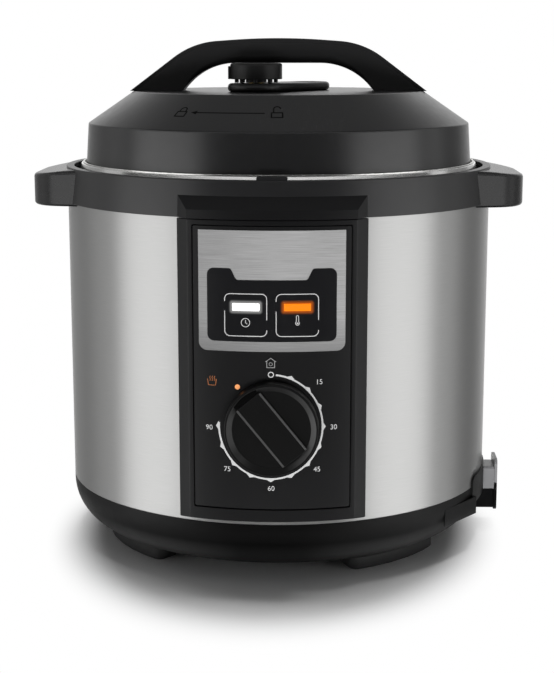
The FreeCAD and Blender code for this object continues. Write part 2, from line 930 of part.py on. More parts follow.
def make_inner_pot():
    return spin([
        (0, pot_bottom),
        (pot_radius, pot_bottom, pot_round),
        (pot_radius, pot_top - pot_rim_thickness),
        (pot_rim_radius, pot_top - pot_rim_thickness),
        (pot_rim_radius, pot_top),
        (pot_inner, pot_top),
        (pot_inner, pot_bottom + pot_floor, pot_round - pot_wall),
        (0, pot_bottom + pot_floor),
    ])


def element_centre():
    return heater_bottom - element_radius - film_gap


def make_heating_plate():
    plate = spin([
        (heater_hole, heater_bottom),
        (heater_radius, heater_bottom, -heater_bevel),
        (heater_radius, heater_top, -heater_bevel),
        (heater_hole, heater_top),
    ])
    leg_places = [polar(heater_leg_circle, a) for a in heater_leg_angles]
    legs = [disc(heater_leg_radius, chamber_floor, heater_bottom, x, y) for x, y in leg_places]
    return solid(plate.fuse(legs))


def make_heating_element():
    z = element_centre()
    axis = FreeCAD.Vector(0, 0, 1)
    start = FreeCAD.Vector(element_ring_radius, 0, z)
    section = Part.Wire(Part.makeCircle(element_radius, start, FreeCAD.Vector(0, 1, 0)))
    tube = Part.Face(section).revolve(FreeCAD.Vector(0, 0, 0), axis, 360 - element_gap_angle)
    tube.rotate(FreeCAD.Vector(0, 0, 0), axis, terminal_angles[1])
    ends = [disc(terminal_radius, z - terminal_length, z, x, y) for x, y in terminal_places]
    return solid(tube.fuse(ends))


def make_sensor_guide():
    low = heater_top - sensor_travel - guide_height
    flange_outer = chamber_hole + guide_flange
    inner = sensor_radius + fit_gap
    tube = ring(inner + guide_wall, inner, low, low + guide_height)
    flange = ring(flange_outer, inner, chamber_bottom - guide_flange_thickness, chamber_bottom)
    return solid(tube.fuse(flange))


def make_sensor_cap():
    wall = guide_wall
    return spin([
        (0, heater_top),
        (sensor_radius, heater_top, -wall / 2),
        (sensor_radius, heater_top - sensor_height),
        (sensor_radius - wall, heater_top - sensor_height),
        (sensor_radius - wall, heater_top - wall),
        (0, heater_top - wall),
    ])


def make_support_bracket():
    inner = bracket_half_length - bracket_foot
    outer = inner + bracket_thickness
    foot_low = chamber_bottom - bracket_thickness
    right = [
        (inner, bracket_top),
        (inner, chamber_bottom),
        (bracket_half_length, chamber_bottom),
        (bracket_half_length, foot_low),
        (outer, foot_low),
        (outer, bracket_bottom),
    ]
    left = [(-x, z) for x, z in reversed(right)]
    strip = front_prism(right + left, -bracket_half_width, bracket_half_width)
    holes = [disc(screw_radius + fit_gap, bracket_bottom, bracket_top, x)
             for x in (-post_offset, post_offset)]
    return solid(strip.cut(holes))


def make_pressure_switch():
    top = bracket_top + switch_height
    x0 = switch_offset - switch_length / 2
    case = block(x0, x0 + switch_length, -switch_width / 2, switch_width / 2, bracket_top, top)
    plunger = disc(plunger_radius, top, chamber_bottom - slip_gap, switch_offset)
    return solid(case.fuse(plunger))


def make_thermal_fuse():
    z = bracket_top + fuse_radius + film_gap
    start = -fuse_offset - fuse_length / 2
    return rod(fuse_radius, (start, 0, z), (1, 0, 0), fuse_length)


# Control panel
def make_panel_frame():
    front = curved_plate(box_corners(panel_half_width, panel_bottom, panel_top, panel_corner, panel_corner),
                         panel_back, panel_front)
    front = front.common(sloping_ends(panel_half_width, panel_back, panel_mitre, panel_front))
    back_half = panel_half_width - panel_back_inset
    back = curved_plate(box_corners(back_half, panel_back_low, panel_back_high), panel_rear, panel_back)
    hollow = front_prism(box_corners(back_half - panel_back_wall, panel_back_low + panel_back_wall,
                                     panel_back_high - panel_back_wall), -panel_back, 0)
    lip_half = fascia_half_width - fascia_lip
    lip_outline = box_corners(lip_half, fascia_bottom + fascia_lip, fascia_end - fascia_lip)
    through = front_prism(lip_outline, -beyond, 0)
    seat_outline = box_corners(fascia_half_width + fascia_groove, fascia_bottom - fascia_groove,
                               fascia_end + fascia_groove, fascia_corner, fascia_corner)
    seat = curved_plate(seat_outline, fascia_ledge, panel_front + bury)
    return solid(front.fuse(back.cut(hollow)).cut([through, seat]))


def lens_outline(side, spare):
    half_height = lens_height / 2 + spare
    return box_corners(lens_width / 2 + spare, lens_z - half_height, lens_z + half_height,
                       centre=side * lens_x)


def lens_holes():
    return [front_prism(lens_outline(side, film_gap), -beyond, 0) for side in (-1, 1)]


def make_panel_fascia():
    outline = box_corners(fascia_half_width, fascia_bottom, fascia_end, fascia_corner, fascia_corner)
    plate = curved_plate(outline, fascia_back, fascia_front)
    parts = []
    for x, z in board_bosses + timer_bosses:
        root = math.sqrt(fascia_back ** 2 - x ** 2) + fascia_thickness / 3
        parts.append(rod(boss_radius, (x, -board_front, z), (0, -1, 0), root - board_front))
    shaft_hole = rod(shaft_radius + slip_gap, (0, 0, dial_z), (0, -1, 0), beyond)
    return solid(plate.fuse(parts).cut(lens_holes() + [shaft_hole]))


def make_display_plate():
    outline = box_corners(plate_half_width, plate_bottom, plate_top, plate_corner, 0)
    return solid(curved_plate(outline, plate_back, plate_front).cut(lens_holes()))


def make_display_window():
    notch_low = window_top - notch_depth
    right = [
        (window_half_width, window_bottom, window_corner),
        (window_half_width, window_top, window_corner),
        (notch_half_width, window_top, notch_corner),
        (notch_half_width - notch_taper, notch_low, notch_corner),
    ]
    left = [(-x, z, r) for x, z, r in reversed(right)]
    return solid(curved_plate(right + left, window_back, window_front).cut(lens_holes()))


def make_lens(side):
    back = math.hypot(board_front + led_length, lens_x + led_radius) + film_gap
    return solid(curved_plate(lens_outline(side, 0), back, lens_front))


def make_lamp_board():
    low = lens_z - board_height / 2
    board = block(-board_half_width, board_half_width, -board_front, board_thickness - board_front,
                  low, low + board_height)
    lamps = [rod(led_radius, (x, -board_front, lens_z), (0, -1, 0), led_length) for x in (-lens_x, lens_x)]
    return solid(board.fuse(lamps))


def make_timer_case():
    case = front_prism(box_corners(timer_half_width, dial_z - timer_half_height, dial_z + timer_half_height,
                                   boss_radius, boss_radius), -board_front, timer_thickness - board_front)
    spades = []
    for x in (-spade_pitch, 0, spade_pitch):
        y = -board_front + timer_thickness / 2
        top = dial_z - timer_half_height
        half = spade_width / 2
        spades.append(block(x - half, x + half, y, y + spade_thickness, top - spade_length, top))
    bore_end = (0, timer_bore_depth - board_front, dial_z)
    bore = rod(shaft_radius + fit_gap, bore_end, (0, -1, 0), timer_bore_depth)
    return solid(case.fuse(spades).cut(bore))


def make_timer_shaft():
    tail = timer_bore_depth - board_front - slip_gap
    length = shaft_end + tail
    shaft = rod(shaft_radius, (0, tail, dial_z), (0, -1, 0), length)
    flat = block(-shaft_radius, shaft_radius, -shaft_end, -knob_back,
                 dial_z + shaft_radius - shaft_flat, dial_z + shaft_radius)
    return solid(shaft.cut(flat))


def make_timer_knob():
    # Drawn upright with its axis along Z, then laid forward so that its face looks out of the panel.
    floor = knob_height - knob_bowl_depth
    cup = spin([
        (0, 0),
        (knob_radius, 0),
        (knob_radius, knob_height, knob_edge),
        (knob_radius - knob_rim, knob_height),
        (knob_bowl_radius, floor),
        (0, floor),
    ])
    half_width = grip_bar_width / 2
    half_length = grip_bar_length / 2
    bar = plan_prism([
        (-half_width, -half_length, grip_bar_round),
        (half_width, -half_length, grip_bar_round),
        (half_width, half_length, grip_bar_round),
        (-half_width, half_length, grip_bar_round),
    ], floor - bury, knob_height)
    knob = solid(cup.fuse(bar))
    knob.rotate(FreeCAD.Vector(0, 0, 0), FreeCAD.Vector(0, 0, 1), -dial_rest_angle)
    knob.rotate(FreeCAD.Vector(0, 0, 0), FreeCAD.Vector(1, 0, 0), 90)
    knob.translate(FreeCAD.Vector(0, -knob_back, dial_z))
    return solid(knob.cut(make_timer_shaft()))


# Power inlet
def inlet_hood_zone(spare):
    """Where the grey upper piece of the inlet lies, on the body and on the flange."""
    body = block(inlet_front - hood_length - spare, inlet_front, -beyond, beyond,
                 base_bottom + hood_body_low - spare, beyond)
    flange = block(inlet_front, beyond, -beyond, beyond, base_bottom + hood_flange_low - spare, beyond)
    return body.fuse(flange)


def inlet_outer():
    case_outline = box_corners(inlet_half_width, inlet_bottom, inlet_top, hood_wall, hood_wall)
    case = side_prism(case_outline, inlet_back, inlet_front)
    low = base_bottom + flange_low
    high = low + flange_height
    flange_outline = box_corners(flange_half_width, low, high, socket_corner, socket_corner)
    flange = side_prism(flange_outline, inlet_front, flange_front)
    return case.fuse(flange)


def inlet_core(spare):
    """The black body inside the grey piece."""
    inset = hood_wall + spare
    outline = box_corners(inlet_half_width - inset, inlet_bottom, inlet_top - inset)
    return side_prism(outline, inlet_back, inlet_front)


def make_inlet_body():
    body = inlet_outer().cut(inlet_hood_zone(0)).fuse(inlet_core(slip_gap))
    low = base_bottom + socket_low
    socket = side_prism(box_corners(socket_half_width, low, low + socket_height, 0, socket_corner),
                        flange_front - socket_depth, beyond)
    return solid(body.cut([socket] + pin_solids(fit_gap)))


def make_inlet_cover():
    return solid(inlet_outer().common(inlet_hood_zone(-slip_gap)).cut(inlet_core(0)))


def pin_solids(spare):
    low = base_bottom + socket_low + (socket_height - pin_height) / 2
    pins = []
    for y in (-pin_pitch, 0, pin_pitch):
        pins.append(block(inlet_back - pin_tail, flange_front - socket_depth + pin_length,
                          y - pin_width / 2 - spare, y + pin_width / 2 + spare,
                          low - spare, low + pin_height + spare))
    return pins


def make_inlet_pins():
    return Part.makeCompound(pin_solids(0))


# Lid
def make_lid_cover():
    cone_angle = math.atan2(lid_cone_height, lid_cone_run)
    inner_top = lid_top - lid_wall
    inner_crease = lid_crease - lid_wall * math.tan(math.pi / 4 - cone_angle / 2)
    inner_run = (inner_top - inner_crease) / math.tan(cone_angle)
    body = spin([
        (0, lid_top),
        (lid_top_radius, lid_top, lid_top_edge),
        (lid_crease_radius, lid_crease, lid_crease_round),
        (lid_radius, lid_bottom),
        (lid_radius - lid_wall, lid_bottom),
        (lid_crease_radius - lid_wall, inner_crease),
        (lid_crease_radius - lid_wall - inner_run, inner_top),
        (0, inner_top),
    ])
    studs = [disc(stud_radius, dish_top, lid_top - bury, side * handle_screw_offset) for side in (-1, 1)]
    cuts = [disc(handle_screw_radius + screw_gap, 0, beyond, side * handle_screw_offset) for side in (-1, 1)]
    cuts.append(disc(pipe_radius + slip_gap, 0, beyond, valve_x, valve_y))
    cuts.append(disc(float_radius + slip_gap, 0, beyond, float_x, float_y))
    return solid(body.fuse(studs).cut(cuts))


def make_inner_lid():
    dish = spin([
        (0, dish_top),
        (dish_wall_radius, dish_top, -dish_bevel),
        (dish_wall_radius, dish_flange_top),
        (dish_radius, dish_flange_top),
        (dish_radius, dish_flange_bottom - dish_rim_drop),
        (dish_rim_inner, dish_flange_bottom - dish_rim_drop),
        (dish_rim_inner, dish_flange_bottom),
        (dish_wall_inner, dish_flange_bottom),
        (dish_wall_inner, dish_ceiling, -dish_bevel),
        (0, dish_ceiling),
    ])
    lug_outer = dish_radius + lug_reach
    lugs = [sector(dish_rim_inner, lug_outer, dish_flange_bottom, dish_flange_top, a, lug_span)
            for a in lug_angles]
    cuts = [disc(handle_screw_radius + screw_gap, 0, beyond, side * handle_screw_offset) for side in (-1, 1)]
    cuts.append(disc(pipe_radius + screw_gap, 0, beyond, valve_x, valve_y))
    cuts.append(disc(float_radius + slip_gap, 0, beyond, float_x, float_y))
    return solid(dish.fuse(lugs).cut(cuts))


def make_sealing_ring():
    low = pot_top + slip_gap
    high = low + seal_height
    groove_low = low + seal_groove_low
    return spin([
        (seal_inner, low, -seal_corner),
        (seal_outer, low, -seal_corner),
        (seal_outer, high),
        (seal_inner, high),
        (seal_inner, groove_low + seal_groove_height),
        (seal_inner + seal_groove_width, groove_low + seal_groove_height),
        (seal_inner + seal_groove_width, groove_low),
        (seal_inner, groove_low),
    ])


def make_seal_rack():
    low = pot_top + slip_gap + seal_groove_low + (seal_groove_height - rack_thickness) / 2
    leg_outer = dish_wall_inner - slip_gap
    leg_inner = leg_outer - rack_leg_thickness
    hoop = ring(seal_inner + rack_overlap, leg_inner, low, low + rack_thickness)
    leg_top = low + rack_leg_height
    legs = [sector(leg_inner, leg_outer, low, leg_top, a, rack_leg_span) for a in around(rack_leg_count)]
    return solid(hoop.fuse(legs))


def under_arch(drop):
    """A bar under the handle's upper line, lowered by drop, reaching down past the lid's top."""
    foot = lid_top - drop
    shoulder = foot + handle_shoulder_rise
    right = [
        (handle_half_span, 0),
        (handle_half_span, foot),
        (handle_shoulder_half, shoulder, handle_shoulder_round),
    ]
    left = [(-c[0],) + c[1:] for c in reversed(right)]
    peak = [(0, shoulder + handle_crown_rise, handle_crown_round)]
    return front_prism(right + peak + left, -handle_half_width, handle_half_width)


def finger_gap():
    """The space under the handle, through which the fingers pass."""
    top = lid_top + handle_under
    corners = [
        (-handle_inner_half, lid_top),
        (handle_inner_half, lid_top),
        (handle_under_half, top, handle_under_round),
        (-handle_under_half, top, handle_under_round),
    ]
    return front_prism(corners, -handle_half_width, handle_half_width)


def below_lid_top():
    return block(-beyond, beyond, -beyond, beyond, -beyond, lid_top)


def handle_holes(top):
    return [disc(handle_screw_radius + fit_gap, lid_top, top, side * handle_screw_offset) for side in (-1, 1)]


def handle_screw_top():
    return lid_top + handle_screw_bite


def make_handle_lower():
    lower = under_arch(handle_cover + film_gap).cut([below_lid_top(), finger_gap()])
    return solid(lower.cut(handle_holes(handle_screw_top() + slip_gap)))


def make_handle_upper():
    upper = solid(under_arch(0).cut([under_arch(handle_cover), below_lid_top()]))
    rim = [e for e in upper.Edges if e.BoundBox.YLength < film_gap and above_cover_middle(e)]
    return solid(upper.makeFillet(handle_edge, rim))


def above_cover_middle(edge):
    """Whether an edge of the upper half runs along its outer line, not along the seam below."""
    middle = edge.valueAt((edge.FirstParameter + edge.LastParameter) / 2)
    middle.y = 0
    return not under_arch(handle_cover / 2).isInside(middle, film_gap, True) and middle.z > lid_top + film_gap


def make_handle_screws():
    screws = []
    for side in (-1, 1):
        x = side * handle_screw_offset
        head = disc(screw_head_radius + screw_gap, dish_ceiling - screw_head_height, dish_ceiling, x)
        screws.append(solid(head.fuse(disc(handle_screw_radius, dish_ceiling, handle_screw_top(), x))))
    return Part.makeCompound(screws)


# Valve group
def make_valve_plate():
    big = (valve_x, valve_y, valve_lobe_radius)
    small = (float_x, float_y, float_lobe_radius)
    run = math.hypot(small[0] - big[0], small[1] - big[1])
    heading = math.degrees(math.atan2(small[1] - big[1], small[0] - big[0]))
    lean = math.degrees(math.acos((big[2] - small[2]) / run))
    corners = []
    for centre, turn in ((big, lean), (big, -lean), (small, -lean), (small, lean)):
        dx, dy = polar(centre[2], heading + turn)
        corners.append((centre[0] + dx, centre[1] + dy))
    plate = plan_prism(corners, lid_top, valve_plate_top)
    lobes = [disc(r, lid_top, valve_plate_top, x, y) for x, y, r in (big, small)]
    holes = [disc(pipe_radius + slip_gap, 0, beyond, valve_x, valve_y),
             disc(float_radius + slip_gap, 0, beyond, float_x, float_y),
             disc(float_dish_radius, valve_plate_top - float_dish_depth, beyond, float_x, float_y)]
    body = solid(plate.fuse(lobes))
    rim = [e for e in body.Edges if e.BoundBox.ZMin > valve_plate_top - film_gap]
    return solid(body.makeFillet(valve_plate_edge, rim).cut(holes))


def at_valve(shape):
    shape.translate(FreeCAD.Vector(valve_x, valve_y, 0))
    return shape


def make_vent_pipe():
    return at_valve(spin([
        (pipe_bore, dish_ceiling - pipe_tail),
        (pipe_radius, dish_ceiling - pipe_tail),
        (pipe_radius, dish_top),
        (pipe_flange_radius, dish_top),
        (pipe_flange_radius, dish_top + pipe_flange_height),
        (pipe_radius, dish_top + pipe_flange_height),
        (pipe_radius, pipe_top, -pipe_bevel),
        (pipe_bore, pipe_top),
    ]))


def make_vent_nut():
    corners = [polar(nut_radius, a) for a in around(6)]
    nut = plan_prism(corners, dish_ceiling - nut_height, dish_ceiling)
    return at_valve(solid(nut.cut(disc(pipe_radius + fit_gap, 0, beyond))))


def make_vent_shield():
    low = dish_ceiling - shield_height
    cap = spin([
        (0, low),
        (shield_radius, low, -shield_bevel),
        (shield_radius, dish_ceiling),
        (shield_radius - shield_wall, dish_ceiling),
        (shield_radius - shield_wall, low + shield_wall, -shield_bevel),
        (0, low + shield_wall),
    ])
    slot_low = low + (shield_height - shield_slot_height) / 2
    slots = []
    for angle in around(shield_slot_count):
        slot = block(shield_radius / 2, shield_radius * 2, -shield_slot_width / 2, shield_slot_width / 2,
                     slot_low, slot_low + shield_slot_height)
        slot.rotate(FreeCAD.Vector(0, 0, 0), FreeCAD.Vector(0, 0, 1), angle)
        slots.append(slot)
    return at_valve(solid(cap.cut(slots)))


def make_valve_knob():
    cap = spin([
        (0, valve_cap_bottom),
        (valve_knob_radius, valve_cap_bottom),
        (valve_knob_radius, valve_knob_top, valve_knob_edge),
        (0, valve_knob_top),
    ])
    hub = disc(valve_hub_radius, valve_knob_bottom, valve_cap_bottom)
    parts = [hub]
    for angle in around(valve_post_count):
        x, y = polar(valve_post_circle, angle)
        parts.append(disc(valve_post_radius, valve_knob_bottom, valve_cap_bottom, x, y))
    parts.append(block(-valve_knob_radius - pointer_reach, 0, -pointer_width / 2, pointer_width / 2,
                       valve_cap_bottom, valve_cap_bottom + pointer_height))
    cuts = [disc(pipe_radius + fit_gap, 0, pipe_top + slip_gap),
            disc(needle_radius, 0, pipe_top + slip_gap + needle_height)]
    return at_valve(solid(cap.fuse(parts).cut(cuts)))


def make_valve_needle():
    low = pipe_top + slip_gap
    tip_radius = pipe_bore - slip_gap
    return at_valve(spin([
        (0, low + needle_height),
        (needle_radius, low + needle_height),
        (needle_radius, low),
        (tip_radius, low),
        (tip_radius / 4, low - needle_tip),
        (0, low - needle_tip),
    ]))


def make_float_pin():
    seat = float_seal_top - float_seal_height
    pin = spin([
        (0, seat - float_flange_height),
        (float_flange_radius, seat - float_flange_height),
        (float_flange_radius, seat),
        (float_radius, seat),
        (float_radius, float_top, -float_bevel),
        (0, float_top),
    ])
    pin.translate(FreeCAD.Vector(float_x, float_y, 0))
    return pin


def make_float_seal():
    washer = ring(float_flange_radius, float_radius, float_seal_top - float_seal_height, float_seal_top)
    washer.translate(FreeCAD.Vector(float_x, float_y, 0))
    return washer


# Drip cup
def make_drip_cup():
    front = body_radius + cup_stand_off
    back = front + cup_depth
    low = cup_top - cup_height

    def cup_plan(inset):
        half = cup_half_width - inset
        corner = cup_corner - inset
        return [(-half, front + inset, corner / 3), (half, front + inset, corner / 3),
                (half, back - inset, corner), (-half, back - inset, corner)]
    body = plan_prism(cup_plan(0), low, cup_top)
    flange_half = cup_half_width + cup_flange - slip_gap
    flange = block(-flange_half, flange_half, front, back - cup_corner, cup_top - cup_rim, cup_top)
    hollow = plan_prism(cup_plan(cup_wall), low + cup_wall, beyond)
    return solid(body.fuse(flange).cut(hollow))


pieces = {
    "base": make_base,
    "feet": make_feet,
    "bottom_cover": make_bottom_cover,
    "base_screws": make_base_screws,
    "bracket_screws": make_bracket_screws,
    "outer_shell": make_outer_shell,
    "collar": make_collar,
    "right_grip": make_right_grip,
    "left_grip": lambda: mirrored(make_right_grip()),
    "grip_screws": make_grip_screws,
    "locking_ring": make_locking_ring,
    "ring_screws": make_ring_screws,
    "outer_pot": make_outer_pot,
    "inner_pot": make_inner_pot,
    "heating_plate": make_heating_plate,
    "heating_element": make_heating_element,
    "sensor_guide": make_sensor_guide,
    "sensor_cap": make_sensor_cap,
    "support_bracket": make_support_bracket,
    "pressure_switch": make_pressure_switch,
    "thermal_fuse": make_thermal_fuse,
    "panel_frame": make_panel_frame,
    "panel_fascia": make_panel_fascia,
    "display_plate": make_display_plate,
    "display_window": make_display_window,
    "power_lens": lambda: make_lens(-1),
    "heat_lens": lambda: make_lens(1),
    "lamp_board": make_lamp_board,
    "timer_case": make_timer_case,
    "timer_shaft": make_timer_shaft,
    "timer_knob": make_timer_knob,
    "inlet_body": make_inlet_body,
    "inlet_cover": make_inlet_cover,
    "inlet_pins": make_inlet_pins,
    "lid_cover": make_lid_cover,
    "inner_lid": make_inner_lid,
    "sealing_ring": make_sealing_ring,
    "seal_rack": make_seal_rack,
    "handle_lower": make_handle_lower,
    "handle_upper": make_handle_upper,
    "handle_screws": make_handle_screws,
    "valve_plate": make_valve_plate,
    "vent_pipe": make_vent_pipe,
    "vent_nut": make_vent_nut,
    "vent_shield": make_vent_shield,
    "valve_knob": make_valve_knob,
    "valve_needle": make_valve_needle,
    "float_pin": make_float_pin,
    "float_seal": make_float_seal,
    "drip_cup": make_drip_cup,
}

os.makedirs("parts", exist_ok=True)
for name, make in pieces.items():
    make().exportStep(os.path.join("parts", name + ".step"))
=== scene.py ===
# %% [markdown]
# # Dressing an electric pressure cooker
# The CAD model already fixes where everything is and how it moves. This lesson gives it its looks:
# rounder meshes where the eye rests, print on the panel, and finishes that are grown from noise instead
# of pictures. Everything is in metres in the frame's own space, but sizes are written in millimetres, as
# on a drawing.

# %% Load the frame
import json
import math

import bmesh
import bpy
from mathutils import Matrix, Vector

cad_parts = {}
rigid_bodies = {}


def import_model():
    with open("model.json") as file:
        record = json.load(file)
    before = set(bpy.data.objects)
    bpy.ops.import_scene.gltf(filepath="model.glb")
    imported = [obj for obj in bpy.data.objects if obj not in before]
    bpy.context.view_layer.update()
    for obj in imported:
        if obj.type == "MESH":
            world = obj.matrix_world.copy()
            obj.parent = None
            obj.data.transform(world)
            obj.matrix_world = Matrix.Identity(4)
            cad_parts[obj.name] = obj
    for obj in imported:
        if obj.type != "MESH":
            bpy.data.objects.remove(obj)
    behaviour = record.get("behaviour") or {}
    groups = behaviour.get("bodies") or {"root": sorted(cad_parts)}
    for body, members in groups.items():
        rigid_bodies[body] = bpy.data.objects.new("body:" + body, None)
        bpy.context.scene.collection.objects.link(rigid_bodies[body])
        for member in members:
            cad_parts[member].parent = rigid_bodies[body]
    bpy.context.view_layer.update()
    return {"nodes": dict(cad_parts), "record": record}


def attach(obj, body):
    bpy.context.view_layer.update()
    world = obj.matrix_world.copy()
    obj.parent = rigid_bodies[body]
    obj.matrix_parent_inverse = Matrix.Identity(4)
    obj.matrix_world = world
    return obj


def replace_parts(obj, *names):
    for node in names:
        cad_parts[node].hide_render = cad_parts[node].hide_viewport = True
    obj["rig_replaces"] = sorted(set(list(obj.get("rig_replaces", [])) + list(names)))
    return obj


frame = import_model()
slot_of = {part["node"]: part["material_slot"] for part in frame["record"]["subparts"]}
body_of = {node: body for body, nodes in frame["record"]["behaviour"]["bodies"].items() for node in nodes}
MM = 0.001

# %% [markdown]
# ## Tools for outlines
# Most of the cooker is either turned or cut from a flat outline, so a few small drawing tools come first.
# One rounds the corners of a polygon, another gives a line a width. They only make lists of points, which
# keeps them easy to check before any mesh exists.

# %% Outlines
def rounded(corners, steps=6, guard=0.3):
    """Points of a closed outline of corners (u, v, radius), each corner turned into an arc."""
    points = []
    for i, (u, v, radius) in enumerate(corners):
        here = Vector((u, v))
        if radius == 0:
            points.append((u, v))
            continue
        before = Vector(corners[i - 1][:2]) - here
        after = Vector(corners[(i + 1) % len(corners)][:2]) - here
        back = before.normalized()
        ahead = after.normalized()
        half = back.angle(ahead) / 2
        reach = radius / math.tan(half)
        centre = here + (back + ahead).normalized() * radius / math.sin(half)
        start = here + back * reach - centre
        end = here + ahead * reach - centre
        turn = math.atan2(start.x * end.y - start.y * end.x, start.dot(end))
        first = math.atan2(start.y, start.x)
        points.append(tuple(here + back * (reach + min(guard, before.length / 6))))
        for k in range(steps + 1):
            angle = first + turn * k / steps
            points.append((centre.x + radius * math.cos(angle), centre.y + radius * math.sin(angle)))
        points.append(tuple(here + ahead * (reach + min(guard, after.length / 6))))
    return points


def box_outline(half_width, low, high, low_round=0.0, high_round=0.0, centre=0.0):
    """A rectangle in (u, v), with its lower and upper corners rounded."""
    left = centre - half_width
    right = centre + half_width
    return rounded([(left, low, low_round), (right, low, low_round),
                    (right, high, high_round), (left, high, high_round)])


def arc(cu, cv, radius, start, end, steps=24):
    """Points on an arc; degrees counted clockwise from straight up, as on a dial."""
    angles = [math.radians(start + (end - start) * k / steps) for k in range(steps + 1)]
    return [(cu + radius * math.sin(a), cv + radius * math.cos(a)) for a in angles]


def circle(cu, cv, radius, count):
    """Points of a whole circle, anticlockwise from its right."""
    turns = [2 * math.pi * k / count for k in range(count)]
    return [(cu + radius * math.cos(t), cv + radius * math.sin(t)) for t in turns]


def stroke(path, width):
    """The outline of an open line of the given width drawn along path."""
    left = []
    right = []
    for i, point in enumerate(path):
        before = Vector(path[max(i - 1, 0)])
        after = Vector(path[min(i + 1, len(path) - 1)])
        along = (after - before).normalized()
        side = Vector((-along.y, along.x)) * width / 2
        left.append(tuple(Vector(point) + side))
        right.append(tuple(Vector(point) - side))
    return left + right[::-1]


print("a box with four rounded corners has", len(box_outline(10, 0, 5, 1, 1)), "points")

# %% [markdown]
# ## Tools for meshes
# A lathe spins an outline round an upright axis. A slab lets a filled 2D curve do the work: Blender fills
# outlines with holes, gives them depth and bevels their edges in one go. Wrapping a slab round the drum
# needs upright cuts first, because a face can't bend between its corners.

# %% Objects and their meshes
def linked(name, data):
    """A new object in the scene."""
    made = bpy.data.objects.new(name, data)
    bpy.context.scene.collection.objects.link(made)
    return made


def mesh_object(name, bm):
    """A new object with a bmesh as its mesh."""
    mesh = bpy.data.meshes.new(name)
    bm.to_mesh(mesh)
    bm.free()
    return linked(name, mesh)


def evaluated(holder):
    """The shape of an object with its modifiers, as a bmesh; the object itself is removed."""
    bpy.context.view_layer.update()
    mesh = bpy.data.meshes.new_from_object(holder.evaluated_get(bpy.context.evaluated_depsgraph_get()))
    bpy.data.objects.remove(holder)
    bm = bmesh.new()
    bm.from_mesh(mesh)
    bpy.data.meshes.remove(mesh)
    return bm


def moved(bm, x, y, z):
    bmesh.ops.translate(bm, verts=bm.verts, vec=(x, y, z))
    return bm


def placed(bm, matrix):
    bmesh.ops.transform(bm, matrix=matrix, verts=bm.verts)
    return bm


def joined(meshes):
    """Several bmeshes in one."""
    whole = bmesh.new()
    for bm in meshes:
        part = bpy.data.meshes.new("part")
        bm.to_mesh(part)
        bm.free()
        whole.from_mesh(part)
        bpy.data.meshes.remove(part)
    return whole


# %% Turned and cut shapes
def skin(bm, loops, closed=True):
    """Join every loop of points to the next one with four-sided faces."""
    for one, other in zip(loops, loops[1:]):
        for i in range(len(one) if closed else len(one) - 1):
            n = (i + 1) % len(one)
            bm.faces.new([one[i], one[n], other[n], other[i]])


def lathe(outline, segments, x=0.0, y=0.0):
    """Spin a closed (radius, height) outline about an upright axis through x, y."""
    bm = bmesh.new()
    rings = []
    for radius, height in outline:
        if radius < 1e-6:
            rings.append([bm.verts.new((x, y, height))] * segments)
        else:
            rings.append([bm.verts.new((u, v, height)) for u, v in circle(x, y, radius, segments)])
    for i, low in enumerate(rings):
        high = rings[(i + 1) % len(rings)]
        for k in range(segments):
            corners = [low[k], low[(k + 1) % segments], high[(k + 1) % segments], high[k]]
            corners = [c for j, c in enumerate(corners) if c not in corners[:j]]
            if len(corners) > 2:
                bm.faces.new(corners)
    return bm


def rod(radius, low, high, segments, x=0.0, y=0.0):
    """An upright round bar."""
    return lathe([(0, low), (radius, low), (radius, high), (0, high)], segments, x, y)


def filled(curve, depth):
    """The mesh of a curve or text as a bmesh, standing on w = 0."""
    bm = evaluated(linked("outline", curve))
    bpy.data.curves.remove(curve)
    bmesh.ops.remove_doubles(bm, verts=bm.verts, dist=1e-4)
    return moved(bm, 0, 0, depth / 2)


def slab(outlines, depth, edge=0.0, steps=2):
    """A flat slab in (u, v) with thickness along w from 0 to depth; outlines after the first cut holes."""
    curve = bpy.data.curves.new("outline", "CURVE")
    curve.dimensions = "2D"
    curve.fill_mode = "BOTH"
    for points in outlines:
        spline = curve.splines.new("POLY")
        spline.points.add(len(points) - 1)
        for place, (u, v) in zip(spline.points, points):
            place.co = (u, v, 0, 1)
        spline.use_cyclic_u = True
    curve.extrude = depth / 2 - edge
    curve.bevel_depth = edge
    curve.bevel_resolution = steps
    curve.offset = -edge
    return filled(curve, depth)


def cut_upright(bm, step, reach=1000.0):
    """Cut a slab into upright strips, so that it can bend."""
    low = max(-reach, min(v.co.x for v in bm.verts))
    high = min(reach, max(v.co.x for v in bm.verts))
    cut = math.ceil(low / step) * step
    while cut < high:
        everything = bm.verts[:] + bm.edges[:] + bm.faces[:]
        bmesh.ops.bisect_plane(bm, geom=everything, plane_co=(cut, 0, 0), plane_no=(1, 0, 0), dist=1e-4)
        cut += step


def wrap_front(bm, back, reach=1000.0):
    """Wrap a slab round the drum's front, with its rear face at radius back."""
    cut_upright(bm, 4.0, reach)
    for vert in bm.verts:
        u, v, w = vert.co
        vert.co = (u, -math.sqrt((back + w) ** 2 - u ** 2), v)
    return bm


